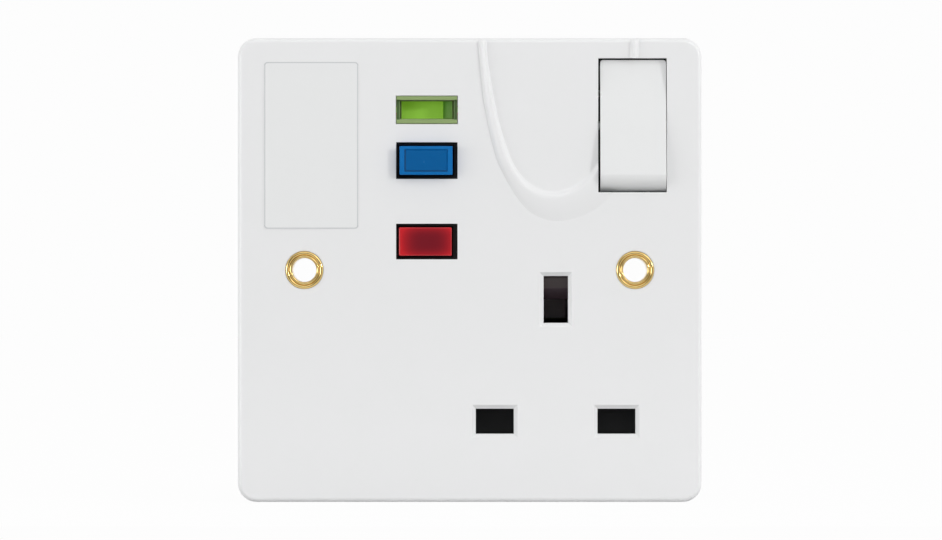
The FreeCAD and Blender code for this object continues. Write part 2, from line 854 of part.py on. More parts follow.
def make_button_guide():
    """The black moulding behind the window and the buttons."""
    body = new_body("guide_block")
    half = D.window_width / 2 + D.guide_side
    x = (D.control_middle - half, D.control_middle + half)
    low = D.test_level - D.test_slot_height / 2 - D.guide_side
    front = FACE_INNER + D.guide_front_gap
    rear = HOUSING_FRONT - D.moulding_gap
    floor = rear - D.guide_floor
    gap = D.button_gap * 2
    pad(body, "guide_pad", "Y", front, rear, lambda s: rectangle(s, x, (low, D.guide_high)))

    def button_wells(sketch):
        rectangle(sketch, span(D.control_middle + D.reset_shift, D.button_width + gap),
                  span(D.reset_level, D.button_height + gap))
        rectangle(sketch, span(D.control_middle + D.test_shift, D.button_width + gap),
                  span(D.test_level, D.button_height + gap))

    def stem_holes(sketch):
        circle(sketch, D.control_middle + D.reset_shift, D.reset_level, D.stem_size + 0.2)
        circle(sketch, D.control_middle + D.test_shift, D.test_level, D.test_stem + 0.2)

    pocket(body, "button_wells", "Y", front, floor, button_wells)
    pocket(body, "stem_holes", "Y", floor, rear, stem_holes)
    pocket(body, "flag_well", "Y", front, rear,
           lambda s: rectangle(s, span(D.control_middle, D.window_width + 0.2),
                               span(D.window_level, D.flag_radius * 3 + 0.1)))
    pocket(body, "lens_step", "Y", front, FACE + D.lens_depth + 0.1,
           lambda s: rectangle(s, span(D.control_middle, D.window_width + D.lens_flange * 2 + 0.2),
                               span(D.window_level, D.window_height + D.lens_flange + 0.2)))
    bore = rod("flag_pin_bore", "X", x[0] - 1, x[1] + 1, FACE + D.flag_pivot_depth, D.window_level,
               D.flag_pin + D.pivot_clearance * 2)
    leg_y = (rear - 0.2, D.slide_front + D.slide_depth - 0.3)
    leg_z = span(D.reset_level, 8.4)
    inner = D.slide_half_width + 0.3
    outer = inner + 1.6
    legs = [
        box("left_leg", (D.control_middle - outer, D.control_middle - inner), leg_y, leg_z),
        box("right_leg", (D.control_middle + inner, D.control_middle + outer), leg_y, leg_z),
    ]
    guide = cut("bored_guide", body, bore)
    keep(join("button_guide_moulding", [guide] + legs), "button_guide")


# Rocker switch

def make_rocker():
    """The rocker in its middle position about its own pivot, then tilted to off."""
    face = -D.rocker_pivot_depth - D.rocker_proud
    reach = ROCKER_SLOT_HEIGHT / 2 - D.rocker_end_gap
    nose = D.rocker_nose
    half = D.rocker_slot_width / 2 - D.rocker_side_gap
    corner = reach - 0.75
    body = new_body("rocker_cap")
    profile = [
        (D.rocker_skirt, reach), (-1.2, reach - 0.06), (face, corner),
        (face, -corner), (-1.2, -reach + 0.06), (D.rocker_skirt, -reach),
    ]
    pad(body, "rocker_block", "X", -half, half, lambda s: polygon(s, profile))
    round_edges(body, "rocker_noses", nose,
                lambda e: runs_along(e, "X") and abs(e.CenterOfMass.y - face.value) < 0.01)
    round_edges(body, "rocker_sides", 0.35,
                lambda e: abs(abs(e.CenterOfMass.x) - half.value) < 0.001
                and e.CenterOfMass.y < -1.25)
    skin = D.rocker_skin
    pocket(body, "rocker_hollow", "Y", face + skin, D.rocker_skirt,
           lambda s: rectangle(s, (-half + skin, half - skin), (-reach + skin * 1.6, reach - skin * 1.6)))
    hub_z = span(0, D.hub_height)
    hub_middle = D.pole_middle - D.rocker_middle
    hub_half = D.pole_pitch / 2 + D.plunger_size / 2 + 0.7
    pad(body, "rocker_hub", "Y", face + skin - 0.2, D.hub_reach,
        lambda s: rectangle(s, (hub_middle - hub_half, hub_middle + hub_half), hub_z))

    def plunger_bores(sketch):
        for side in (-1, 1):
            middle = D.pole_middle - D.rocker_middle + D.pole_pitch / 2 * side
            circle(sketch, middle, 0, D.plunger_size + 0.2)

    pocket(body, "plunger_bores", "Y", D.rocker_pin / 2 + 0.4, D.hub_reach, plunger_bores)
    pocket(body, "pin_bore", "X", -half - 1, half + 1,
           lambda s: circle(s, 0, 0, D.rocker_pin + D.pivot_clearance * 2))
    tilt_to_rest(body, D.rocker_middle)
    keep(body, "rocker")


def tilt_to_rest(body, x):
    """Puts a piece drawn about the rocker's pivot where it is when the switch is off."""
    lean = FreeCAD.Rotation(FreeCAD.Vector(-1, 0, 0), D.rocker_rest_tilt.value)
    body.Placement = FreeCAD.Placement(FreeCAD.Vector(), lean)
    bind(body, "Placement.Rotation.Angle", D.rocker_rest_tilt)
    place(body, x, ROCKER_Y, D.rocker_level)


def make_switch():
    rocker_x = span(D.rocker_middle, D.rocker_slot_width)
    pin = rod("rocker_pin", "X", rocker_x[0] - D.cheek_width, rocker_x[1] + D.cheek_width,
              ROCKER_Y, D.rocker_level, D.rocker_pin)
    keep(pin, "rocker_pin")
    seat = D.rocker_pin / 2 + 0.4
    inset = D.plunger_inset
    radius = D.plunger_size / 2
    tip = D.plunger_reach
    plungers = []
    springs = []
    for name, side in (("first", -1), ("second", 1)):
        pole_x = D.pole_middle + D.pole_pitch / 2 * side
        body = turned(f"{name}_plunger", [
            (0, inset), (radius, inset), (radius, tip - 0.8), (radius - 0.6, tip), (0, tip)])
        tilt_to_rest(body, pole_x)
        plungers.append(body)
        spring = coil_spring(f"{name}_plunger_spring", 1.8, 0.3, 0, inset - seat - 0.1, 3)
        lean = FreeCAD.Rotation(FreeCAD.Vector(1, 0, 0), -90 - D.rocker_rest_tilt.value)
        spring.Placement = FreeCAD.Placement(
            FreeCAD.Vector(pole_x.value, ROCKER_Y.value, D.rocker_level.value), lean).multiply(
                FreeCAD.Placement(FreeCAD.Vector(0, 0, seat.value + 0.2), FreeCAD.Rotation()))
        springs.append(spring)
    keep(group("rocker_plungers", plungers), "rocker_plungers")
    keep(group("plunger_springs", springs), "plunger_springs")

    seesaw_y = ROCKER_Y + D.plunger_reach + D.seesaw_gap + D.seesaw_metal / 2
    half_metal = D.seesaw_metal / 2
    arm = D.seesaw_arm
    contact_end = half_metal + D.contact_button
    contact_z = arm - D.contact_button_inset
    for name, side in (("live_seesaw_contact", -1), ("neutral_seesaw_contact", 1)):
        pole_x = D.pole_middle + D.pole_pitch / 2 * side
        body = new_body(name)
        pad(body, f"{name}_strip", "X", -D.seesaw_width / 2, D.seesaw_width / 2,
            lambda s: rectangle(s, (-half_metal, half_metal), (-arm, arm)))
        pad(body, f"{name}_button", "Y", half_metal, contact_end,
            lambda s: circle(s, 0, contact_z, D.contact_button_size))
        lean = FreeCAD.Rotation(FreeCAD.Vector(1, 0, 0), D.seesaw_tilt.value)
        body.Placement = FreeCAD.Placement(FreeCAD.Vector(), lean)
        bind(body, "Placement.Rotation.Angle", D.seesaw_tilt)
        place(body, pole_x, seesaw_y, D.rocker_level)
        keep(body, name)

    post_top = seesaw_y + half_metal + 0.12
    floor_y = (D.switch_floor, D.switch_floor + D.switch_floor_thick)
    posts = []
    for name, side in (("live", -1), ("neutral", 1)):
        pole_x = span(D.pole_middle + D.pole_pitch / 2 * side, D.seesaw_width - 0.4)
        z = D.rocker_level
        body = new_body(f"{name}_post")
        edge = [(post_top, z), (post_top + 1.6, z + 1.5), (floor_y[0], z + 1.5),
                (floor_y[0], z - 1.5), (post_top + 1.6, z - 1.5)]
        pad(body, f"{name}_post_pad", "X", pole_x[0], pole_x[1], lambda s: polygon(s, edge))
        posts.append(body)
    keep(group("seesaw_posts", posts), "seesaw_posts")

    swing = contact_z * math.sin(math.radians(D.seesaw_tilt.value))
    closed_y = seesaw_y + contact_end + swing + D.contact_running_gap
    fixed_z = (D.rocker_level + arm - D.switch_bar_height, D.rocker_level + arm)
    live_x = span(D.pole_middle - D.pole_pitch / 2, D.switch_bar_width)
    neutral_x = span(D.pole_middle + D.pole_pitch / 2, D.switch_bar_width)
    live_bar = box("live_switch_bar", live_x, (closed_y, D.terminal_front), fixed_z)
    keep(live_bar, "live_switch_contact")
    run_y = (D.neutral_run_rear - D.strap_metal, D.neutral_run_rear)
    neutral_post = box("neutral_switch_post", neutral_x, (closed_y, run_y[1]), fixed_z)
    run_z = (D.neutral_run_low, D.neutral_run_high)
    neutral_drop = box("neutral_drop", neutral_x, run_y, (run_z[0], fixed_z[1]))
    terminal_x = span(D.neutral_wire_x, D.switch_bar_width)
    neutral_run = box("neutral_run", (terminal_x[0], neutral_x[1]), run_y, run_z)
    neutral_rise = box("neutral_rise", terminal_x, run_y, (run_z[0], D.neutral_foot_high))
    foot_y = (run_y[1], D.terminal_front)
    foot_z = (D.neutral_foot_low, D.neutral_foot_high)
    neutral_foot = box("neutral_foot", terminal_x, foot_y, foot_z)
    bars = [neutral_post, neutral_drop, neutral_run, neutral_rise, neutral_foot]
    keep(join("neutral_switch_bar", bars), "neutral_switch_contact")

    wall = D.housing_half - D.housing_wall
    base_x = (D.switch_base_left, wall - D.moulding_gap)
    base_z = (D.switch_base_low, wall - D.moulding_gap)
    base = new_body("switch_base_block")
    pad(base, "switch_floor_pad", "Y", floor_y[0], floor_y[1], lambda s: rectangle(s, base_x, base_z))
    pocket(base, "switch_bar_slots", "Y", floor_y[0], floor_y[1],
           lambda s: rectangle(s, (live_x[0] - D.moulding_gap, neutral_x[1] + D.moulding_gap),
                               (fixed_z[0] - D.moulding_gap, fixed_z[1] + D.moulding_gap)))
    rib_z = (base_z[0] + D.switch_rib_inset, base_z[1])
    rib = box("switch_divider", span(D.pole_middle, D.switch_rib), (seesaw_y - 1.2, floor_y[0]), rib_z)
    foot_z = (base_z[0], base_z[0] + D.switch_foot_height)
    foot_y = (floor_y[1] - D.joining_overlap, D.housing_depth - D.housing_wall)
    foot = box("switch_foot", base_x, foot_y, foot_z)
    keep(join("switch_base", [base, rib, foot]), "switch_base")


# Inside mouldings

def lug_outline(inset):
    """The outline shared by the housing and the carrier, with notches for the box lugs."""
    far = D.housing_half - inset
    near = D.notch_reach - inset
    lug = D.notch_half + inset
    quarter = [(far, lug), (far, far), (-far, far), (-far, lug), (-near, lug)]
    other = [(-near, -lug), (-far, -lug), (-far, -far), (far, -far), (far, -lug), (near, -lug)]
    return quarter + other + [(near, lug)]


def make_inner_carrier():
    """A thin wall between the shutter and the contacts, with a wing round the rocker's slot."""
    body = new_body("inner_carrier")
    pad(body, "carrier_sheet", "Y", CARRIER_Y[0], CARRIER_Y[1],
        lambda s: polygon(s, lug_outline(D.carrier_inset)))
    guide_half = D.window_width / 2 + D.guide_side + 0.15

    def through_holes(sketch):
        for x, z in COLUMNS:
            circle(sketch, x, z, D.boss_size + 0.3)
        for x, z in LINE_SLOTS:
            rectangle(sketch, span(x, D.line_slot_width + 0.3), span(z, D.line_slot_height + 0.3))
        rectangle(sketch, span(D.pin_middle, D.earth_slot_width + 0.3),
                  span(EARTH_Z, D.earth_slot_height + 0.3))
        rectangle(sketch, (D.control_middle - guide_half, D.control_middle + guide_half),
                  (D.test_level - D.test_slot_height / 2 - D.guide_side - 0.15, 35))

    pocket(body, "carrier_holes", "Y", CARRIER_Y[0], CARRIER_Y[1], through_holes)
    slot_x = span(D.rocker_middle, D.rocker_slot_width)
    pocket(body, "rocker_clearance", "Y", CARRIER_Y[0], CARRIER_Y[1],
           lambda s: rectangle(s, (slot_x[0] - D.cheek_width - 0.5, 35), (13.2, 35)))
    rib_y = (FACE_INNER + 0.1, CARRIER_Y[0])
    stop_low = D.shutter_spring_end
    pad(body, "spring_stop", "Y", rib_y[0], rib_y[1],
        lambda s: rectangle(s, span(D.pin_middle, D.shutter_stem), (stop_low, stop_low + 1.6)))
    for side, label in ((-1, "left"), (1, "right")):
        edge = D.pin_middle + (D.shutter_stem / 2 + 0.3) * side
        limits = (edge - 1.4, edge) if side < 0 else (edge, edge + 1.4)
        pad(body, f"{label}_rail", "Y", rib_y[0], rib_y[1],
            lambda s: rectangle(s, limits, (-18.5, D.shutter_spring_end + 1.6)))
    wing_y = (CARRIER_Y[0] + D.wing_step, CARRIER_Y[1] - D.moulding_gap)
    root = D.housing_half - D.wing_root
    wing_x = PLATE_X[1] - D.plate_wall - D.wing_wall_gap
    wing_z = PLATE_Z[1] - D.plate_wall - D.wing_wall_gap
    pad(body, "side_wing", "Y", wing_y[0], wing_y[1],
        lambda s: rectangle(s, (root, wing_x), (D.wing_low, wing_z)))
    pad(body, "top_wing", "Y", wing_y[0], wing_y[1],
        lambda s: rectangle(s, (D.wing_left, wing_x), (root, wing_z)))
    keep(body, "inner_carrier")


def make_housing():
    body = new_body("rear_housing")
    rear = D.housing_depth
    wall = D.housing_wall
    pad(body, "housing_block", "Y", HOUSING_FRONT, rear, lambda s: polygon(s, lug_outline(0)))
    round_edges(body, "housing_edges", 1.0,
                lambda e: runs_along(e, "Y") and abs(e.CenterOfMass.x) > 33 and abs(e.CenterOfMass.z) > 33)
    pocket(body, "housing_cavity", "Y", HOUSING_FRONT, rear - wall,
           lambda s: polygon(s, lug_outline(wall)))

    def columns(sketch):
        for x, z in COLUMNS:
            circle(sketch, x, z, D.column_size)

    def column_bores(sketch):
        for x, z in COLUMNS:
            circle(sketch, x, z, D.screw_size + D.screw_clearance * 2)

    def head_bores(sketch):
        for x, z in COLUMNS:
            circle(sketch, x, z, D.screw_head + 0.4)

    def screw_windows(sketch):
        for x in TERMINALS.values():
            circle(sketch, x, (TERMINAL_LOW + TERMINAL_HIGH) / 2, D.clamp_head + 0.6)

    def wire_holes(sketch):
        for x in TERMINALS.values():
            circle(sketch, x, WIRE_DEPTH, D.wire_entry)

    def boss_recesses(sketch):
        for x, z in COLUMNS:
            circle(sketch, x, z, D.boss_size + 0.4)

    pad(body, "screw_columns", "Y", D.boss_end, rear - 0.2, columns)
    pocket(body, "boss_recesses", "Y", HOUSING_FRONT, D.boss_end, boss_recesses)
    pocket(body, "column_bores", "Y", D.boss_end, rear, column_bores)
    pocket(body, "head_bores", "Y", D.screw_seat, rear, head_bores)
    pocket(body, "screw_windows", "Y", rear - wall, rear, screw_windows)
    pocket(body, "wire_holes", "Z", D.housing_half - wall, D.housing_half, wire_holes)
    pocket(body, "strap_slots", "Y", HOUSING_FRONT, BOSS_REAR + D.strap_metal + 0.2,
           lambda s: rectangle(s, span(0, D.notch_reach * 2 + 1), (-3.2, 1.9)))
    keep(body, "rear_housing")


def make_housing_screws():
    """Pan head screws that hold the rear housing to the plate."""
    core = D.screw_size / 2
    head = D.screw_head / 2
    seat = D.screw_seat
    top = seat + D.screw_head_depth
    screws = []
    for number, (x, z) in enumerate(COLUMNS, start=1):
        points = [
            (0, D.screw_tip), (core - 0.7, D.screw_tip), (core, D.screw_tip + 1.5), (core, seat),
            (head, seat), (head, top - 0.6), (head - 0.7, top), (0, top),
        ]
        screw = turned(f"housing_screw_{number}", points)
        screws.append(screw)
        pocket(screw, f"screw_slot_{number}", "Y", top - 0.9, top,
               lambda s: rectangle(s, span(0, D.screw_slot), span(0, D.screw_head)))
        place(screw, x, 0, z)
    keep(group("housing_screws", screws), "housing_screws")


# Shutter and pin contacts

def make_shutter():
    """One sliding shutter: a bar over the two lower slots and a ramp in the earth slot."""
    body = new_body("safety_shutter")
    front = FACE_INNER + D.shutter_gap
    rear = front + D.shutter_thick
    bar_x = (NEUTRAL_X - D.line_slot_width / 2 - 0.7, LIVE_X + D.line_slot_width / 2 + 0.7)
    stem_x = span(D.pin_middle, D.shutter_stem)
    gap_x = span(D.pin_middle, D.earth_slot_width + 0.4)
    bar_z = (D.shutter_bar_low, D.shutter_bar_high)
    window_low = EARTH_Z - D.earth_slot_height / 2 - D.shutter_travel - D.shutter_window_gap
    pad(body, "shutter_bar", "Y", front, rear, lambda s: rectangle(s, bar_x, bar_z))
    pad(body, "shutter_stem", "Y", front, rear,
        lambda s: rectangle(s, stem_x, (bar_z[1] - 0.2, D.shutter_top)))
    boss_half = D.boss_size / 2 + 0.4
    pocket(body, "boss_notch", "Y", front, rear,
           lambda s: rectangle(s, (D.column_inner_x - boss_half, D.column_inner_x + boss_half),
                               (D.shutter_bar_low - 1, boss_half - COLUMN_EDGE)))
    pocket(body, "earth_window", "Y", front, rear,
           lambda s: rectangle(s, gap_x, (window_low, D.shutter_ramp_high)))
    ramp = [
        (rear, D.shutter_ramp_low), (rear, D.shutter_ramp_high), (front, D.shutter_ramp_high),
        (front + D.shutter_crease_depth, D.shutter_crease_level),
    ]
    pad(body, "shutter_ramp", "X", gap_x[0] - 0.05, gap_x[1] + 0.05, lambda s: polygon(s, ramp))
    keep(body, "safety_shutter")
    spring = coil_spring("shutter_spring", D.shutter_spring_size, D.spring_wire,
                         D.shutter_top, D.shutter_spring_end, 9)
    place(spring, D.pin_middle, (front + rear) / 2, D.shutter_top + D.spring_wire / 2 + 0.05)
    keep(spring, "shutter_spring")


def clip_profile(front, rear, middle, gap, metal):
    """A U of bent strip that opens to the front, with a flare for the pin."""
    inner = gap / 2
    outer = inner + metal
    flare = 0.7
    upper = [
        (rear, middle + outer), (front + 1.5, middle + outer), (front, middle + outer + flare),
        (front, middle + inner + flare), (front + 1.5, middle + inner), (rear - metal, middle + inner),
    ]
    lower = [
        (rear - metal, middle - inner), (front + 1.5, middle - inner), (front, middle - inner - flare),
        (front, middle - outer - flare), (front + 1.5, middle - outer), (rear, middle - outer),
    ]
    return upper + lower


def make_pin_contacts():
    metal = D.contact_metal
    for name, x in (("neutral_contact", NEUTRAL_X), ("live_contact", LIVE_X)):
        body = new_body(name)
        limits = span(x, D.contact_width)
        profile = clip_profile(
            D.contact_front, D.line_contact_rear, D.pin_line_level, D.pin_thick, metal)
        pad(body, f"{name}_clip", "X", limits[0], limits[1], lambda s: polygon(s, profile))
        keep(body, name)
    body = new_body("earth_contact")
    height = span(EARTH_Z, D.earth_contact_height)
    front = BOSS_REAR + D.strap_metal
    profile = clip_profile(front, D.earth_contact_rear, D.pin_middle, D.pin_thick, metal)
    across = [(x, y) for y, x in profile]
    pad(body, "earth_clip", "Z", height[0], height[1], lambda s: polygon(s, across))
    keep(body, "earth_contact")


def make_earth_strap():
    """A flat strip that joins both eyelets and the earth contact, and runs up to the terminals."""
    body = new_body("earth_strap_sheet")
    y = (BOSS_REAR, BOSS_REAR + D.strap_metal)
    ring = D.eyelet_boss - 1.0
    window_x = span(D.pin_middle, D.earth_slot_width + 0.6)
    window_z = span(EARTH_Z, D.earth_slot_height + 0.4)
    low = D.strap_low
    high = D.strap_high
    collar = D.strap_collar
    pad(body, "strap_strip", "Y", y[0], y[1],
        lambda s: rectangle(s, (-EYELET_X, EYELET_X), (low, high)))
    pad(body, "strap_collar", "Y", y[0], y[1],
        lambda s: rectangle(
            s, (window_x[0] - collar, window_x[1] + collar), (window_z[0] - collar, high + 0.5)))

    def rings(sketch):
        for side in (-1, 1):
            circle(sketch, EYELET_X * side, 0, ring)

    def holes(sketch):
        for side in (-1, 1):
            circle(sketch, EYELET_X * side, 0, D.eyelet_hole + D.eyelet_wall * 2 + 0.1)
        rectangle(sketch, window_x, window_z)

    pad(body, "strap_rings", "Y", y[0], y[1], rings)
    pocket(body, "strap_holes", "Y", y[0], y[1], holes)
    arm_x = (D.strap_arm_left, D.strap_arm_right)
    arm_z = (low + D.joining_overlap, high - 1.2)
    bar_y = (D.terminal_front - D.strap_metal, D.terminal_front)
    bar_left = D.earth_outer_x - D.terminal_width / 4
    arm = box("earth_arm", arm_x, (y[0] + D.moulding_gap, bar_y[1]), arm_z)
    rise = box("earth_rise_bar", arm_x, bar_y, (arm_z[0], D.strap_bar_high))
    run = box("earth_run_bar", (bar_left, arm_x[1]), bar_y, (D.strap_bar_low, D.strap_bar_high))
    keep(join("earth_strap", [body, arm, rise, run]), "earth_strap")


# Terminals

def make_terminals():
    low = TERMINAL_LOW
    high = TERMINAL_HIGH
    middle_z = (low + high) / 2
    screws = []
    for name, x in TERMINALS.items():
        body = new_body(name)
        pad(body, f"{name}_block", "Y", D.terminal_front, TERMINAL_REAR,
            lambda s: rectangle(s, span(x, D.terminal_width), (low, high)))
        pocket(body, f"{name}_wire_bore", "Z", low, high,
               lambda s: circle(s, x, WIRE_DEPTH, D.wire_bore))
        pocket(body, f"{name}_screw_bore", "Y", WIRE_DEPTH, TERMINAL_REAR,
               lambda s: circle(s, x, middle_z, D.clamp_screw + 0.1))
        keep(body, name)
        core = D.clamp_screw / 2
        head = D.clamp_head / 2
        start = WIRE_DEPTH + D.wire_bore / 2 + 0.1
        seat = TERMINAL_REAR + 0.05
        top = seat + D.clamp_head_depth
        points = [(0, start), (core, start), (core, seat), (head, seat), (head, top), (0, top)]
        screw = turned(f"{name}_screw", points)
        pocket(screw, f"{name}_screw_slot", "Y", top - 0.8, top,
               lambda s: rectangle(s, span(0, D.screw_slot), span(0, D.clamp_head)))
        place(screw, x, 0, middle_z)
        screws.append(screw)
    keep(group("terminal_screws", screws), "terminal_screws")


# Residual current module

def make_board():
    body = new_body("circuit_board")
    y = (D.board_front, D.board_front + D.board_thick)
    column = D.column_size / 2 + 0.3
    edge_x = column - COLUMN_EDGE
    edge_z = COLUMN_EDGE - column
    waist_x = D.housing_wall + 0.3 - D.notch_reach
    waist_z = D.notch_half + D.housing_wall + 0.3
    points = [
        (BOARD_LEFT, -edge_z), (edge_x, -edge_z), (edge_x, BOARD_LOW), (D.board_right, BOARD_LOW),
        (D.board_right, BOARD_HIGH), (BOARD_LEFT, BOARD_HIGH), (BOARD_LEFT, waist_z),
        (waist_x, waist_z), (waist_x, -waist_z), (BOARD_LEFT, -waist_z),
    ]
    pad(body, "board_sheet", "Y", y[0], y[1], lambda s: polygon(s, points))
    pitch = D.lead_pitch / 2

    def lead_holes(sketch):
        for side in (-1, 1):
            circle(sketch, D.toroid_x + pitch * side, D.toroid_level, D.lead_size + 0.3)

    pocket(body, "lead_holes", "Y", y[0], y[1], lead_holes)
    keep(body, "circuit_board")


def ring_solid(name, x, z, front, rear, outer, inner):
    """A square cut ring about a Y axis."""
    outside = as_size(outer) / 2
    inside = as_size(inner) / 2
    body = turned(name, [(inside, front), (outside, front), (outside, rear), (inside, rear)])
    place(body, x, 0, z)
    return body


def make_toroid():
    """The sensing ring: a core, its wound cover and the two main leads through it."""
    skin = D.winding_thick
    core = ring_solid("toroid_core", D.toroid_x, D.toroid_level, D.toroid_front, D.toroid_rear,
                      D.toroid_outer, D.toroid_inner)
    keep(core, "toroid_core")
    whole = ring_solid("winding_block", D.toroid_x, D.toroid_level, D.toroid_front - skin,
                       D.toroid_rear + skin, D.toroid_outer + skin * 2, D.toroid_inner - skin * 2)
    hollow = ring_solid("winding_hollow", D.toroid_x, D.toroid_level, D.toroid_front,
                        D.toroid_rear, D.toroid_outer, D.toroid_inner)
    keep(cut("toroid_winding", whole, hollow), "toroid_winding")
    for name, side in (("live_lead", -1), ("neutral_lead", 1)):
        x = D.toroid_x + D.lead_pitch / 2 * side
        keep(bent_lead(name, x), name)


def bent_lead(name, x):
    """A thick lead from the board, over the ring's front and back through its middle."""
    front = D.lead_front.value
    board = D.board_front.value
    start_z = D.lead_start_level.value
    end_z = D.toroid_level.value
    through = board + D.board_thick.value + 0.4
    bend = D.lead_bend.value
    lean = bend * math.sqrt(0.5)
    across = x.value

    def spot(y, z):
        return FreeCAD.Vector(across, y, z)

    first_arc = Part.Arc(
        spot(front + bend, start_z), spot(front + bend - lean, start_z - bend + lean),
        spot(front, start_z - bend))
    second_arc = Part.Arc(
        spot(front, end_z + bend), spot(front + bend - lean, end_z + bend - lean),
        spot(front + bend, end_z))
    path = Part.Wire([
        Part.LineSegment(spot(board, start_z), spot(front + bend, start_z)).toShape(),
        first_arc.toShape(),
        Part.LineSegment(spot(front, start_z - bend), spot(front, end_z + bend)).toShape(),
        second_arc.toShape(),
        Part.LineSegment(spot(front + bend, end_z), spot(through, end_z)).toShape(),
    ])
    end = Part.Circle(spot(board, start_z), FreeCAD.Vector(0, -1, 0), D.lead_size.value / 2)
    section = Part.Wire([end.toShape()])
    item = doc.addObject("Part::Feature", name)
    item.Shape = path.makePipeShell([section], True, False)
    return item


def make_links():
    """Flat bars from the leads behind the board to the pin contacts."""
    metal = D.strap_metal
    lead_rear = D.board_front + D.board_thick + 0.4
    reach = (D.toroid_level - 1.4, D.toroid_level + 1.4)
    pitch = D.lead_pitch / 2
    levels = {"neutral_link": lead_rear, "live_link": lead_rear + metal + 1.2}
    starts = {"neutral_link": D.toroid_x + pitch - 1.2, "live_link": D.toroid_x - pitch - 1.2}
    ends = {"neutral_link": NEUTRAL_X, "live_link": LIVE_X}
    drop_z = D.pin_line_level - 1.0
    for name in ("neutral_link", "live_link"):
        y = (levels[name], levels[name] + metal)
        foot_x = span(ends[name], 2.8)
        items = [
            box(f"{name}_run", (starts[name], foot_x[1]), y, reach),
            box(f"{name}_drop", foot_x, y, (drop_z, reach[1])),
            box(f"{name}_leg", foot_x, (D.line_contact_rear, y[1]), (drop_z, drop_z + metal)),
        ]
        if name == "live_link":
            tail_x = (starts[name], starts[name] + 2.0)
            items.append(box("live_link_tail", tail_x, (lead_rear, y[1]), reach))
        keep(join(f"{name}_bar", items), name)


def make_trip_coil():
    """The trip coil in its iron frame, with a sprung plunger that tips the latch."""
    x = D.coil_x
    y = D.coil_depth
    low = D.coil_low
    high = D.coil_high
    metal = D.yoke_metal
    frame_y = span(y, D.yoke_width - 0.4)
    bore = D.bobbin_bore
    body = new_body("coil_yoke")
    outer_x = span(x, D.yoke_width)
    inner_x = (outer_x[0] + metal, outer_x[1] - metal)
    pad(body, "yoke_block", "Y", frame_y[0], frame_y[1], lambda s: rectangle(s, outer_x, (low, high)))
    pocket(body, "yoke_window", "Y", frame_y[0], frame_y[1],
           lambda s: rectangle(s, inner_x, (low + metal, high - metal)))
    pocket(body, "yoke_bore", "Z", high - metal, high, lambda s: circle(s, x, y, bore))
    keep(body, "coil_yoke")
    inside_low = low + metal
    inside_high = high - metal
    tube = D.bobbin_bore + D.bobbin_wall * 2
    flange = D.yoke_width - metal * 2 - D.bobbin_gap
    foot = inside_low + D.bobbin_flange
    top = inside_high - D.bobbin_flange
    bobbin = new_body("coil_bobbin")
    pad(bobbin, "bobbin_tube", "Z", inside_low, inside_high, lambda s: circle(s, x, y, tube))
    pad(bobbin, "bobbin_foot", "Z", inside_low, foot, lambda s: circle(s, x, y, flange))
    pad(bobbin, "bobbin_head", "Z", top, inside_high, lambda s: circle(s, x, y, flange))
    pocket(bobbin, "bobbin_bore", "Z", inside_low, inside_high, lambda s: circle(s, x, y, bore))
    keep(bobbin, "coil_bobbin")
    winding = new_body("coil_winding")
    pad(winding, "winding_sleeve", "Z", foot, top,
        lambda s: circle(s, x, y, flange - D.winding_margin))
    pocket(winding, "winding_bore", "Z", foot, top, lambda s: circle(s, x, y, tube))
    keep(winding, "coil_winding")

    head = D.trip_head_level
    stem_low = low + metal + D.trip_travel + D.trip_end_gap
    stem = rod("trip_stem", "Z", stem_low, head, x, y, D.trip_plunger_size)
    cap = rod("trip_cap", "Z", head, head + D.trip_head_thick, x, y, D.trip_head_size)
    keep(join("trip_plunger_turning", [stem, cap]), "trip_plunger")
    spring = coil_spring("trip_spring", 4.4, 0.4, high, head - 0.4, 5)
    place(spring, x, y, high + 0.25)
    keep(spring, "trip_spring")


def make_latch():
    """A lever between the trip plunger and the contact carrier, on a pin in the board."""
    x = D.latch_pivot_x
    z = D.latch_pivot_level
    y = span(D.coil_depth, D.latch_thick)
    head_low = D.trip_head_level - 0.25
    finger_x = (D.coil_x + 2.7, D.coil_x + 4.0)
    hook_x = (x + 1.7, x + 2.7)
    body = new_body("latch_lever")
    tail = [
        (finger_x[0], head_low), (finger_x[0], head_low - 1.1), (x - 1.4, z - 1.3), (x + 1.2, z - 1.3),
        (hook_x[0], D.slide_high + 0.4), (hook_x[1], D.slide_high + 0.4), (hook_x[1], z + 0.6),
        (x + 1.0, z + 1.4), (x - 0.8, z + 1.4), (finger_x[1], head_low),
    ]
    pad(body, "latch_plate", "Y", y[0], y[1], lambda s: polygon(s, tail))
    pocket(body, "latch_bore", "Y", y[0], y[1],
           lambda s: circle(s, x, z, D.latch_pin + D.pivot_clearance * 2))
    keep(body, "latch_lever")
    keep(rod("latch_pin", "Y", y[0] - 1.0, D.board_front, x, z, D.latch_pin), "latch_pin")


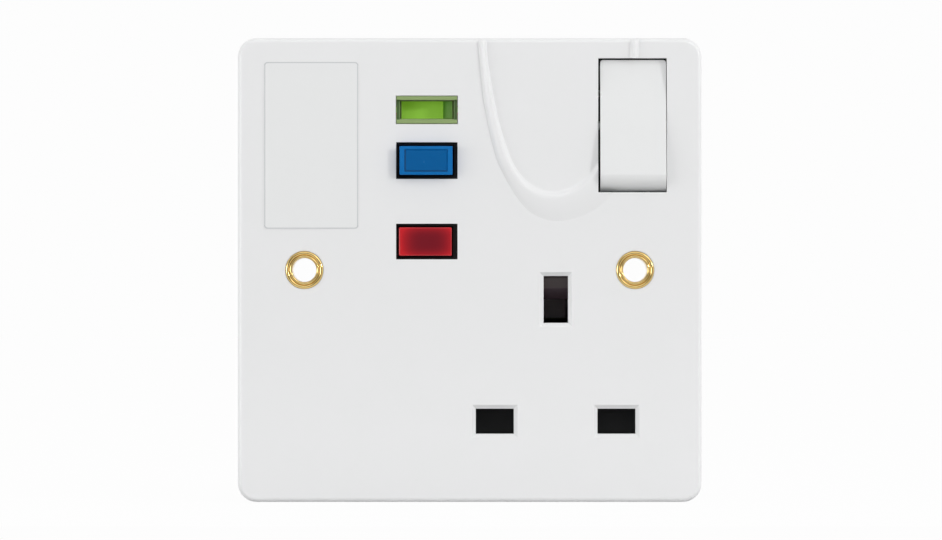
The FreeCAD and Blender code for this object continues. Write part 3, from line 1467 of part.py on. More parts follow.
def make_contact_carrier():
    """The sliding block behind the reset button, with its two moving contact strips."""
    middle = D.control_middle
    front = D.slide_front
    rear = front + D.slide_depth
    x = (middle - D.slide_half_width, middle + D.slide_half_width)
    z = (D.slide_low, D.slide_high)
    body = new_body("contact_carrier")
    pad(body, "carrier_block", "Y", front, rear, lambda s: rectangle(s, x, z))
    pocket(body, "carrier_spring_bore", "Y", rear - 2.6, rear,
           lambda s: circle(s, middle, D.reset_level, D.reset_spring_size + 1.0))
    keep(body, "contact_carrier")
    strip_z = [D.slide_high - D.strip_width / 2 - 0.2, D.slide_low + D.strip_width / 2 + 0.2]
    strips = []
    fixed = []
    for number, level in enumerate(strip_z, start=1):
        strip = box(f"moving_strip_{number}", span(middle, D.strip_half_length * 2),
                    (rear, rear + D.strip_metal), span(level, D.strip_width))
        parts = [strip]
        for side, end in ((-1, "left"), (1, "right")):
            rivet_x = middle + (D.strip_half_length - 1.3) * side
            face = rear + D.strip_metal
            parts.append(rod(f"rivet_{number}_{end}", "Y", face - 0.1, face + D.rivet_height,
                             rivet_x, level, D.rivet_size))
            fixed_y = (face + D.rivet_height + D.reset_travel + D.break_gap, D.board_front)
            fixed.append(box(f"fixed_{number}_{end}", span(rivet_x, 2.4), fixed_y, span(level, 2.4)))
        strips.append(join(f"moving_contact_{number}", parts))
    keep(group("moving_contacts", strips), "moving_contacts")
    keep(group("fixed_contacts", fixed), "fixed_contacts")
    spring_front = rear + 0.3
    spring = coil_spring("reset_spring", D.reset_spring_size, 0.5, spring_front, D.board_front, 5)
    spring.Placement = FreeCAD.Placement(FreeCAD.Vector(), AXIS_TURNS["Y"])
    place(spring, middle, spring_front + 0.3, D.reset_level)
    keep(spring, "reset_spring")


def make_test_circuit():
    """The bridge on the test button's stem, its two posts and its return spring."""
    x = D.control_middle + D.test_shift
    z = D.test_level
    stem_end = D.test_stem_end
    keep(box("test_bridge", span(x, 8.0), (stem_end, stem_end + 0.7), span(z, 2.6)), "test_bridge")
    post_y = (stem_end + 0.7 + D.test_travel + 0.15, D.board_front)
    posts = [box(f"test_post_{end}", span(x + 3.0 * side, 1.6), post_y, span(z, 1.6))
             for side, end in ((-1, "left"), (1, "right"))]
    keep(group("test_posts", posts), "test_posts")
    seat = HOUSING_FRONT - D.moulding_gap - D.guide_floor
    front = FACE + D.test_sunk + D.button_top + D.test_travel + D.spring_fit
    spring = coil_spring("test_spring", 3.2, 0.4, front, seat, 3)
    spring.Placement = FreeCAD.Placement(FreeCAD.Vector(), AXIS_TURNS["Y"])
    place(spring, x, front + 0.2, z)
    keep(spring, "test_spring")


def make_board_parts():
    front = D.board_front
    chip_y = (front - D.chip_depth, front)
    keep(box("control_chip", span(D.chip_x, D.chip_width), chip_y, span(D.chip_level, D.part_size)),
         "control_chip")
    rectifier_y = (front - D.rectifier_depth, front)
    keep(box("bridge_rectifier", span(D.rectifier_x, D.part_size), rectifier_y,
             span(D.rectifier_level, D.part_size)), "bridge_rectifier")
    keep(rod("varistor", "Y", front - D.varistor_depth, front, D.varistor_x, D.varistor_level,
             D.part_size), "varistor")
    keep(rod("smoothing_capacitor", "Y", front - D.capacitor_depth, front, D.capacitor_x,
             D.capacitor_level, D.capacitor_size), "smoothing_capacitor")
    resistors = []
    for number in range(3):
        start = D.resistor_left + D.resistor_pitch * number
        resistors.append(
            rod(f"resistor_{number + 1}", "X", start, start + D.resistor_length,
                front - D.resistor_depth, D.resistor_level, D.resistor_size))
    keep(group("resistors", resistors), "resistors")


def check_and_write():
    """Stops on any failed object, then writes each sub-part to its own file."""
    doc.recompute()
    for item in doc.Objects:
        if "Invalid" in item.State or "Error" in item.State:
            raise RuntimeError(f"{item.Name} failed: {item.State}")
    os.makedirs("parts", exist_ok=True)
    for item in nodes:
        shape = item.Shape
        if shape.isNull() or not shape.isValid() or not shape.Solids:
            raise RuntimeError(f"{item.Label} is not a valid solid")
        shape.exportStep(f"parts/{item.Label}.step")


make_front_plate()
make_eyelets()
make_label()
make_lens()
make_flag()
make_buttons()
make_button_guide()
make_rocker()
make_switch()
make_inner_carrier()
make_housing()
make_housing_screws()
make_shutter()
make_pin_contacts()
make_earth_strap()
make_terminals()
make_board()
make_toroid()
make_links()
make_trip_coil()
make_latch()
make_contact_carrier()
make_test_circuit()
make_board_parts()
check_and_write()
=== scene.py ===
import json
import math

import bmesh
import bpy
from mathutils import Matrix, Vector


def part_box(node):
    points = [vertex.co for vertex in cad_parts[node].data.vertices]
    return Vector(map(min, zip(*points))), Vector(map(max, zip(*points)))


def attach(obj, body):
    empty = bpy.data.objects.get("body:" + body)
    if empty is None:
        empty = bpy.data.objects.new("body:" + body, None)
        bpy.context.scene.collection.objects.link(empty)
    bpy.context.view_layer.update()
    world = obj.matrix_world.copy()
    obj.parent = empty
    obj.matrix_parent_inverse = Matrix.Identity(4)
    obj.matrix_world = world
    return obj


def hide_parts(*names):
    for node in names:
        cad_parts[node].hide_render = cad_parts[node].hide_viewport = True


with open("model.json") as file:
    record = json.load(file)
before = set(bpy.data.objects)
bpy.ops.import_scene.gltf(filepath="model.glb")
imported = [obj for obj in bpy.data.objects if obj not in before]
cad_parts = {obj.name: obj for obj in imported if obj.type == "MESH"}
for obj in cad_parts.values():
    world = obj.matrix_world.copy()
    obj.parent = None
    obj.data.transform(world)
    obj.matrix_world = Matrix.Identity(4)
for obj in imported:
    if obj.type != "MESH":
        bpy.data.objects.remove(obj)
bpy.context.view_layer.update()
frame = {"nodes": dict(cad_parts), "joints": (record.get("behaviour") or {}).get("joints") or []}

bl_info = {
    "name": "Switched socket with residual current device",
    "version": (1, 0, 0),
    "blender": (4, 5, 0),
    "location": "3D View > Sidebar > Socket",
    "description": "Dresses the packed model of a flush switched socket and sets up its studio",
    "category": "Object",
}


def centre(node):
    """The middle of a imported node's box, in millimetres."""
    low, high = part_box(node)
    return [round((a + b) * 500, 2) for a, b in zip(low, high)]


def reach(node):
    """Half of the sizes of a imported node's box, in millimetres."""
    low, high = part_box(node)
    return [round((b - a) * 500, 2) for a, b in zip(low, high)]


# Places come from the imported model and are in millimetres, as all sizes are: X to the right,
# Z up, the front faces -Y, and the wall is at Y 0
HALF_PLATE = reach("front_plate")[0]
FACE = -9.5
FACE_INNER = -7.0
HALF_HOUSING, HALF_DEPTH = reach("rear_housing")[:2]
HOUSING_FRONT = centre("rear_housing")[1] - HALF_DEPTH
HOUSING_REAR = centre("rear_housing")[1] + HALF_DEPTH
HOUSING_WALL = 1.8
LUG_X, LUG_Z = 25.5, 7.5
EYELET_X = centre("eyelet_right")[0]
LABEL_X, LABEL_Z = -28.9, 22.72
CONTROL_X, _, WINDOW_Z = centre("indicator_lens")
RESET_X, _, RESET_Z = centre("reset_button")
TEST_X, _, TEST_Z = centre("test_button")
BUTTON_HALF = (4.82, 2.6)
TILT = next(joint for joint in frame["joints"] if joint["name"] == "rocker_tilt")
ROCKER = Vector([round(value * 1000, 2) for value in TILT["pos_m"]])
# Off is half of its travel away from level
ROCKER_REST = math.radians(TILT["range_deg"][1] / 2)
ROCKER_OPENING = (6.25, 12.225)
PIN_X, _, EARTH_Z = centre("earth_contact")
LIVE_X, _, PIN_Z = centre("live_contact")
NEUTRAL_X = centre("neutral_contact")[0]
PIN_SLOT = (6.93, 4.58)
EARTH_SLOT = (4.46, 8.56)
SLOT_BEVEL = 0.72
COLUMNS = [(-29.9, 29.9), (15.6, 29.9), (-29.9, -29.9), (15.6, -29.9)]
TERMINALS = [-22.0, -8.0, 8.0, 26.0]
TERMINAL_Z = centre("terminal_screws")[2]
# Where a cutter through the face begins and ends
THROUGH = (-12.0, -6.0)
# The share of its direction from which a face or an edge counts as lying along an axis
SQUARE = 0.99
# Every finish by its short name, filled by the first operator
FINISHES = {}


def mm(value):
    """Millimetres as metres."""
    return value * 0.001


def linear(text):
    """An sRGB hex colour as linear values."""
    levels = [int(text[i:i + 2], 16) / 255 for i in (1, 3, 5)]
    return [v / 12.92 if v <= 0.04045 else ((v + 0.055) / 1.055) ** 2.4 for v in levels]


# Modelling steps

def work_on(piece):
    """Leaves only this piece selected and active, in object mode."""
    if bpy.context.object and bpy.context.object.mode != "OBJECT":
        bpy.ops.object.mode_set(mode="OBJECT")
    bpy.ops.object.select_all(action="DESELECT")
    if piece:
        piece.select_set(True)
        bpy.context.view_layer.objects.active = piece


def done():
    """Leaves edit mode."""
    bpy.ops.object.mode_set(mode="OBJECT")


def name_it(name):
    """Names the new primitive and puts its place into its mesh."""
    piece = bpy.context.object
    piece.name = name
    piece.data.name = name
    bpy.ops.object.transform_apply(location=True, rotation=True, scale=True)
    return piece


def add_block(name, low, high):
    """A block between two corners, as a start."""
    work_on(None)
    middle = [mm(a + b) / 2 for a, b in zip(low, high)]
    bpy.ops.mesh.primitive_cube_add(size=1, location=middle)
    bpy.context.object.scale = [mm(b - a) for a, b in zip(low, high)]
    return name_it(name)


def add_panel(name, place, half, front, rear):
    """A block given by its middle and its half sizes, both as (x, z), and its two depths."""
    (x, z), (half_x, half_z) = place, half
    return add_block(name, (x - half_x, front, z - half_z), (x + half_x, rear, z + half_z))


def add_bar(name, axis, ends, place, radius, sides=48):
    """A round bar along an axis; place is where it stands in the other two."""
    work_on(None)
    turns = {"X": (0, math.pi / 2, 0), "Y": (math.pi / 2, 0, 0), "Z": (0, 0, 0)}
    middle = [place[0], place[1]]
    middle.insert("XYZ".index(axis), (ends[0] + ends[1]) / 2)
    bpy.ops.mesh.primitive_cylinder_add(
        vertices=sides, radius=mm(radius), depth=mm(abs(ends[1] - ends[0])),
        location=[mm(v) for v in middle], rotation=turns[axis])
    return name_it(name)


def shape_ring(name, points):
    """A closed ring of vertices, each moved to its own point."""
    work_on(None)
    bpy.ops.mesh.primitive_circle_add(vertices=len(points), radius=0.01)
    piece = name_it(name)
    bpy.ops.object.mode_set(mode="EDIT")
    mesh = bmesh.from_edit_mesh(piece.data)
    mesh.verts.ensure_lookup_table()
    for vertex, point in zip(mesh.verts, points):
        vertex.co = [mm(v) for v in point]
    bmesh.update_edit_mesh(piece.data)
    bpy.ops.mesh.select_all(action="SELECT")
    return piece


def draw_out(x, y):
    """Extrudes what is selected by so many millimetres."""
    bpy.ops.mesh.extrude_region_move(TRANSFORM_OT_translate={"value": (mm(x), mm(y), 0)})


def close_up():
    """Turns all faces outwards and leaves edit mode."""
    bpy.ops.mesh.select_all(action="SELECT")
    bpy.ops.mesh.normals_make_consistent(inside=False)
    done()


def add_turning(name, profile, x, z, steps=64):
    """A closed (radius, depth) profile spun about a line along Y."""
    piece = shape_ring(name, [(x + radius, y, z) for radius, y in profile])
    bpy.ops.mesh.spin(
        steps=steps, angle=2 * math.pi, center=(mm(x), 0, mm(z)), axis=(0, 1, 0))
    bpy.ops.mesh.select_all(action="SELECT")
    bpy.ops.mesh.remove_doubles(threshold=mm(0.002))
    close_up()
    return piece


def add_prism(name, outline, ends):
    """A flat (x, z) outline drawn out along Y."""
    piece = shape_ring(name, [(x, ends[0], z) for x, z in outline])
    bpy.ops.mesh.edge_face_add()
    draw_out(0, ends[1] - ends[0])
    close_up()
    return piece


def to_front(middle, facing):
    """Whether a face looks straight ahead."""
    return facing.y < -SQUARE


def to_rear(middle, facing):
    """Whether a face looks at the wall."""
    return facing.y > SQUARE


def runs_back(middle, along):
    """Whether an edge runs from the front to the rear."""
    return abs(along.y) > SQUARE


def pick(piece, kind, test):
    """Opens edit mode with the edges or faces selected that pass a test on place and direction."""
    work_on(piece)
    bpy.ops.object.mode_set(mode="EDIT")
    bpy.ops.mesh.select_mode(type=kind)
    bpy.ops.mesh.select_all(action="DESELECT")
    mesh = bmesh.from_edit_mesh(piece.data)
    found = 0
    for part in list(mesh.edges if kind == "EDGE" else mesh.faces):
        if kind == "EDGE":
            ends = [vertex.co for vertex in part.verts]
            middle = (ends[0] + ends[1]) * 500
            facing = (ends[1] - ends[0]).normalized()
        else:
            middle = part.calc_center_median() * 1000
            facing = part.normal
        if test(middle, facing):
            part.select_set(True)
            found += 1
    bmesh.update_edit_mesh(piece.data)
    if not found:
        raise RuntimeError(f"{piece.name} has nothing to pick")


def round_over(piece, width, segments, test):
    """Rounds the edges that pass a test."""
    pick(piece, "EDGE", test)
    bpy.ops.mesh.bevel(
        offset=mm(width), segments=segments, profile=0.5, affect="EDGES", clamp_overlap=True)
    done()


def set_back(piece, test, inset, step):
    """Insets the faces that pass a test and moves them along their normal by a step."""
    pick(piece, "FACE", test)
    bpy.ops.mesh.inset(thickness=mm(inset), depth=mm(step))
    done()


def push_in(piece, test, inset, y):
    """Insets the faces that pass a test and draws them along Y."""
    pick(piece, "FACE", test)
    if inset:
        bpy.ops.mesh.inset(thickness=mm(inset))
    draw_out(0, y)
    done()


def cut_out(piece, *tools):
    """Takes the tools' shapes out of a piece."""
    for tool in tools:
        work_on(piece)
        bpy.ops.object.modifier_add(type="BOOLEAN")
        step = piece.modifiers[-1]
        step.operation = "DIFFERENCE"
        step.solver = "EXACT"
        step.object = tool
        bpy.ops.object.modifier_apply(modifier=step.name)
        bpy.data.objects.remove(tool)


def join(piece, *others):
    """Makes the others part of a piece."""
    work_on(piece)
    for other in others:
        other.select_set(True)
    bpy.ops.object.join()


def copy_of(piece, name, *moves):
    """A copy with a mesh of its own, moved in its mesh."""
    twin = piece.copy()
    twin.data = piece.data.copy()
    twin.name = name
    bpy.context.scene.collection.objects.link(twin)
    for move in moves:
        twin.data.transform(move)
    return twin


def soften(piece, width, segments=2, angle=35):
    """Breaks the sharp edges by a small rounding."""
    work_on(piece)
    bpy.ops.object.modifier_add(type="BEVEL")
    step = piece.modifiers[-1]
    step.width = mm(width)
    step.segments = segments
    step.limit_method = "ANGLE"
    step.angle_limit = math.radians(angle)
    step.use_clamp_overlap = True
    step.miter_outer = "MITER_ARC"
    bpy.ops.object.modifier_apply(modifier=step.name)


def smooth(piece, angle=40):
    """Smooth shading that keeps flat faces flat."""
    work_on(piece)
    bpy.ops.object.shade_smooth_by_angle(angle=math.radians(angle))
    bpy.ops.object.modifier_add(type="WEIGHTED_NORMAL")
    step = piece.modifiers[-1]
    step.keep_sharp = True
    step.weight = 100
    bpy.ops.object.modifier_apply(modifier=step.name)


def lean_back(piece, angle, pivot):
    """Turns a piece made about the origin's X axis and moves it to its pivot."""
    work_on(piece)
    piece.rotation_euler = (angle, 0, 0)
    piece.location = [mm(v) for v in pivot]
    bpy.ops.object.transform_apply(location=True, rotation=True, scale=True)


def dress(piece, *finishes):
    """Gives a piece its finishes in order."""
    piece.data.materials.clear()
    for finish in finishes:
        piece.data.materials.append(FINISHES[finish])


def paint(piece, index, test):
    """Gives the faces that pass a test one of the piece's materials."""
    pick(piece, "FACE", test)
    piece.active_material_index = index
    bpy.ops.object.material_slot_assign()
    done()


def fit(piece, body, slot, *nodes):
    """Lets a finished piece ride on its body and stand for its CAD nodes."""
    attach(piece, body)
    if nodes:
        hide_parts(*nodes)


# Materials

def rgba(text):
    """An sRGB hex colour as linear values, opaque."""
    return (*linear(text), 1.0)


def feed(material, node, inputs):
    """Sets a node's sockets to values, or links them to outputs or to nodes' first outputs."""
    for name, value in inputs.items():
        if isinstance(value, bpy.types.Node):
            value = value.outputs[0]
        if isinstance(value, bpy.types.NodeSocket):
            material.node_tree.links.new(value, node.inputs[name])
        else:
            node.inputs[name].default_value = value


def add_node(material, kind, inputs=None, **settings):
    """Adds one shader node with its settings, values and links."""
    node = material.node_tree.nodes.new("ShaderNode" + kind)
    for name, value in settings.items():
        setattr(node, name, value)
    feed(material, node, inputs or {})
    return node


def new_material(name, constants):
    """A material, its Principled shader with its constants, and its Object coordinates."""
    material = bpy.data.materials.new(name)
    material.use_nodes = True
    shader = material.node_tree.nodes["Principled BSDF"]
    feed(material, shader, constants)
    return material, shader, add_node(material, "TexCoord").outputs["Object"]


def moulded(name, first, second, mottle, grain, relief, smoothest, roughest, ior, values=None):
    """Moulded plastic or a like finish: a faint colour drift, a fine skin and an uneven gloss."""
    material, shader, place = new_material(name, {"IOR": ior, **(values or {})})
    drift = add_node(material, "TexNoise",
                     {"Vector": place, "Scale": 1000 / mottle, "Detail": 3.0, "Roughness": 0.6})
    tint = add_node(material, "Mix", {0: drift, 6: rgba(first), 7: rgba(second)},
                    data_type="RGBA")
    gloss = add_node(material, "MapRange",
                     {"Value": drift, "To Min": smoothest, "To Max": roughest})
    skin = add_node(material, "TexNoise",
                    {"Vector": place, "Scale": 1000 / grain, "Detail": 2.0})
    bump = add_node(material, "Bump", {"Height": skin, "Distance": mm(relief)})
    feed(material, shader, {"Base Color": tint.outputs[2], "Roughness": gloss, "Normal": bump})
    return material


def painted_glow(colour, strength):
    """A painted glow: emission that makes a part shine though it is no lamp."""
    return {"Emission Color": rgba(colour), "Emission Strength": strength}


DULLED = {"Specular IOR Level": 0.35}

# By short name: the real material and its making, two colours, then the mottle, the grain and the
# grain's relief in millimetres, the least and the most roughness, the IOR and what else is set
PLASTICS = {
    # Urea hot pressed in a polished mould: cool white, glossy, with a faint orange peel
    "urea": ("urea_formaldehyde_white", "#E4E5E5", "#E6E6E7", 9.0, 1.1, 0.004,
             0.28, 0.33, 1.55),
    # The same from another mould: a shade greyer and glossier than the plate
    "rocker_urea": ("urea_formaldehyde_rocker", "#DEDFDF", "#E1E2E2", 9.0, 1.1, 0.004,
                    0.26, 0.32, 1.55),
    # Coated film: even and flatter than the plate round it
    "label": ("polyester_label", "#E1E2E2", "#E2E3E3", 6.0, 0.3, 0.002, 0.4, 0.48, 1.5),
    # Printed ink: a thin dry line of pale grey
    "label_line": ("label_ink_grey", "#C2C4C6", "#C6C8CA", 3.0, 0.3, 0.002, 0.5, 0.6, 1.5),
    # Clear plastic from a rough mould: milky, and painted green for the flag's light that shines
    # into it
    "lens_rim": ("polycarbonate_frosted", "#8FA36D", "#829960", 2.5, 0.5, 0.006,
                 0.3, 0.42, 1.58),
    # The same at the window's ends, painted a deep green as the shade they stand in
    "lens_end_shade": ("polycarbonate_shaded", "#4C6A38", "#56753F", 2.5, 0.5, 0.006,
                 0.3, 0.42, 1.58),
    # Dyed acetal, moulded: waxy, and made bright as if lit from inside by a painted glow
    "flag_green": ("acetal_green", "#B0EA60", "#A8E254", 3.0, 0.6, 0.004, 0.4, 0.5, 1.48,
                   painted_glow("#8CD022", 0.24)),
    # The same on the flag's lower step: painted paler and less bright as shade, with a weaker
    # painted glow
    "flag_shaded": ("acetal_green_end_shade", "#A8D284", "#9CC678", 3.0, 0.6, 0.004, 0.4, 0.5, 1.48,
                    painted_glow("#58B024", 0.12)),
    # The same dyed red: a plain signal red, with a painted glow
    "flag_red": ("acetal_red", "#C4342C", "#B82E28", 3.0, 0.6, 0.004, 0.4, 0.5, 1.48,
                 painted_glow("#E02A22", 0.26)),
    # Blue ABS from a polished mould, with soft, narrow highlights: its flanks are painted a
    # brighter blue as painted light
    "reset_rim": ("abs_blue_flank_painted_light", "#0C62A4", "#116FB4", 2.0, 0.5, 0.004, 0.2, 0.28, 1.54,
                  DULLED),
    # The same on the panel, which faces the camera: painted a deeper blue as shade
    "reset_panel": ("abs_blue_panel_painted_shade", "#02548E", "#015A98", 2.0, 0.4, 0.004, 0.22, 0.3, 1.54,
                    DULLED),
    # The same in the fine groove, rougher: a dark line of painted shade
    "reset_groove": ("abs_blue_groove_painted_shade", "#034678", "#034C80", 2.0, 0.4, 0.004, 0.3, 0.4, 1.54),
    # Black polyamide, moulded with a fine texture: takes all light in the gaps
    "black": ("polyamide_black", "#0B0A0B", "#0F0D0E", 4.0, 0.5, 0.006, 0.42, 0.52, 1.53),
    # Brown polyamide, moulded: dark, with a dull sheen
    "shutter_brown": ("polyamide_brown", "#2B1B1C", "#322022", 3.0, 0.5, 0.006,
                      0.34, 0.44, 1.53),
    # The same on the ramp's sloping face: painted paler and greyer, as light on it
    "shutter_slope_lit": ("polyamide_brown_slope_lit", "#392B32", "#403038", 3.0, 0.5, 0.006,
                       0.36, 0.46, 1.53),
    # The same behind the lower slots, painted almost black as the shade deep in them
    "shutter_black": ("polyamide_shadow_black", "#08090A", "#0B0C0D", 3.0, 0.5, 0.004,
                      0.2, 0.26, 1.53, DULLED),
    # Filled polycarbonate from a textured mould: warm light grey, matt
    "housing": ("polycarbonate_grey_white", "#D5D6D4", "#DBDBD9", 12.0, 0.35, 0.01,
                0.42, 0.52, 1.58),
    # Pressed and fired ferrite: dark grey, grainy and dull
    "ferrite": ("sintered_ferrite", "#34363A", "#3E4044", 1.5, 0.2, 0.012, 0.5, 0.66, 1.6),
    # Extruded PVC sleeve: brown, smooth and soft in its shine
    "sleeve": ("pvc_lead_sleeve", "#6B4A32", "#745139", 4.0, 0.5, 0.006, 0.4, 0.5, 1.53),
    # Transfer moulded epoxy: near black with a fine sandy skin
    "dark_part": ("epoxy_dark", "#1F2022", "#2A2B2D", 1.6, 0.2, 0.01, 0.4, 0.55, 1.55),
    # Dipped lacquer: blue, uneven and half glossy
    "blue_part": ("lacquer_blue", "#27639B", "#2F6FA8", 1.6, 0.3, 0.008, 0.3, 0.45, 1.5),
}
# The same without the IOR, which metals leave at its default
METALS = {
    # Zinc plated steel: pale, slightly clouded, half bright
    "plated_steel": ("zinc_plated_steel", "#B9BCC0", "#CDCFCF", 1.6, 0.25, 0.004, 0.28, 0.42),
    # Drawn spring wire: greyer and brighter, from the die
    "spring_steel": ("drawn_spring_steel", "#A9ABAE", "#BDBFC1", 1.2, 0.2, 0.003, 0.22, 0.34),
    # Brass stamped from sheet: warm and satin, lightly tarnished
    "brass": ("stamped_brass", "#C49A4A", "#D3AD62", 2.2, 0.3, 0.004, 0.26, 0.4),
    # Brass tube rolled over by a tool that polishes it: pale gold with sharp highlights
    "brass_rolled": ("rolled_brass", "#DDBA6E", "#F3DA9C", 2.38, 0.385, 0.003, 0.12, 0.17),
    # Nickel plated brass: a cool, dull silver
    "contact_plated": ("nickel_plated_brass", "#DAD5DB", "#E4E0E6", 2.2, 0.3, 0.004, 0.4, 0.5),
    # Rolled copper strip: pinkish, satin
    "copper": ("contact_copper", "#C07A55", "#D08D68", 1.8, 0.25, 0.004, 0.25, 0.4),
}
DEFAULT_IOR = 1.5


def button_red():
    """Tinted polycarbonate, moulded, with painted light: the rim painted bright red where the thick
    plastic glows, the middle painted dark where the hollow is.
    """
    controls = bpy.context.scene.socket_controls
    material, shader, place = new_material(
        "polycarbonate_red", {"IOR": 1.58, "Roughness": 0.2, "Specular IOR Level": 0.4})
    # The painted dark middle stands a little to the right of the cap's own
    centred = add_node(material, "Mapping", {
        "Vector": place, "Location": (mm(-TEST_X - 0.4), 0, mm(-TEST_Z))})
    parts = add_node(material, "SeparateXYZ", {"Vector": centred})
    # Along each axis: 0 in the middle, 1 at the rim, and steep near it
    rises = []
    for axis, half, power in zip("XZ", BUTTON_HALF, (3.4, 3.6)):
        along = add_node(material, "Math", {
            0: parts.outputs[axis], 1: 1 / mm(half)}, operation="MULTIPLY")
        out = add_node(material, "Math", {0: along}, operation="ABSOLUTE")
        rises.append(add_node(material, "Math", {0: out, 1: power}, operation="POWER"))
    glow = add_node(material, "Math", {0: rises[1], 1: 0.75, 2: rises[0]},
                    operation="MULTIPLY_ADD")
    # Painted shade: the colour darkens from the bright rim to the middle
    depth = add_node(material, "MapRange", {
        "Value": glow, "From Min": 1.05, "From Max": 0.0})
    tint = add_node(material, "Mix", {
        0: depth, 6: (*controls.test_colour, 1.0), 7: rgba("#731823")}, data_type="RGBA")
    fleck = add_node(material, "TexNoise", {"Vector": place, "Scale": 1000 / 0.7})
    bump = add_node(material, "Bump", {"Height": fleck, "Distance": mm(0.003)})
    feed(material, shader, {"Base Color": tint.outputs[2], "Normal": bump})
    return material


def lens_clear():
    """Clear polycarbonate, moulded and polished: almost all of the flag's colour comes through, and
    the pane's own faint colour is painted the flag's green.
    """
    material, shader, place = new_material("polycarbonate_clear", {
        "Base Color": rgba("#7DB63A"), "IOR": 1.58, "Roughness": 0.06, "Alpha": 0.05})
    flow = add_node(material, "TexNoise", {"Vector": place, "Scale": 1000 / 3.85})
    bump = add_node(material, "Bump", {"Height": flow, "Distance": mm(0.004)})
    feed(material, shader, {"Normal": bump})
    return material


def circuit_board_green():
    """Glass epoxy board with green lacquer: the woven glass shows faintly under the gloss."""
    material, shader, place = new_material("glass_epoxy_green", {"IOR": 1.55, "Roughness": 0.34})
    # Squares of 1.2 mm, coarser than the real weave, so that it shows
    weave = add_node(material, "TexChecker", {
        "Vector": place, "Scale": 1000 / 1.2, "Color1": rgba("#1F6B41"), "Color2": rgba("#23754A")})
    bump = add_node(material, "Bump", {
        "Height": weave.outputs["Fac"], "Distance": mm(0.01)})
    feed(material, shader, {"Base Color": weave, "Normal": bump})
    return material


def enamelled_wire():
    """Enamelled copper wire, wound in even layers: fine ridges a wire's width apart."""
    material, shader, place = new_material("enamelled_copper", {"Metallic": 0.8, "Roughness": 0.32})
    # Each turn is drawn 0.4 mm wide, coarser than the real wire, so that it shows
    turns = add_node(material, "TexWave", {
        "Vector": place, "Scale": 1000 / 0.4 / 20, "Distortion": 0.4},
        wave_type="BANDS", bands_direction="Z").outputs["Fac"]
    tint = add_node(material, "Mix", {0: turns, 6: rgba("#7A3A1C"), 7: rgba("#B5622F")},
                    data_type="RGBA")
    bump = add_node(material, "Bump", {"Height": turns, "Distance": mm(0.05)})
    feed(material, shader, {"Base Color": tint.outputs[2], "Normal": bump})
    return material


def make_materials():
    """Makes every finish of the object and keeps it by its short name."""
    scene = bpy.context.scene
    for name, row in PLASTICS.items():
        FINISHES[name] = moulded(*row)
    for name, row in METALS.items():
        FINISHES[name] = moulded(*row, DEFAULT_IOR, {"Metallic": 1.0})
    FINISHES.update(test=button_red(), lens=lens_clear(), board=circuit_board_green(),
                    winding=enamelled_wire())
    # These two end in a colour that the panel sets
    for name, colour in (("urea", scene.socket_plate.face_colour),
                         ("reset_rim", scene.socket_controls.reset_colour)):
        FINISHES[name].node_tree.nodes["Mix"].inputs[7].default_value = (*colour, 1.0)


# Front plate

def lug_outline(inset):
    """The housing's outline, with notches for the lugs of the wall box."""
    far = HALF_HOUSING - inset
    near = LUG_X - inset
    lug = LUG_Z + inset
    return [
        (far, lug), (far, far), (-far, far), (-far, lug), (-near, lug), (-near, -lug),
        (-far, -lug), (-far, -far), (far, -far), (far, -lug), (near, -lug), (near, lug)]


def slot_tool(name, x, z, width, height):
    """A cutter for a pin slot that flares out to the face."""
    tool = add_panel(name, (x, z), (width / 2, height / 2), FACE + SLOT_BEVEL, THROUGH[1])
    pick(tool, "FACE", to_front)
    draw_out(0, -SLOT_BEVEL)
    bpy.ops.transform.resize(
        value=((width + SLOT_BEVEL * 2) / width, 1, (height + SLOT_BEVEL * 2) / height),
        center_override=(mm(x), mm(FACE), mm(z)))
    draw_out(0, THROUGH[0] - FACE)
    done()
    return tool


def add_boss(name, x, z, outer, inner, ends):
    """A round boss with a hole through it."""
    return add_turning(name, [
        (inner, ends[0]), (outer, ends[0]), (outer, ends[1] - 0.2), (outer - 0.2, ends[1]),
        (inner + 0.15, ends[1]), (inner, ends[1] - 0.15)], x, z, 48)


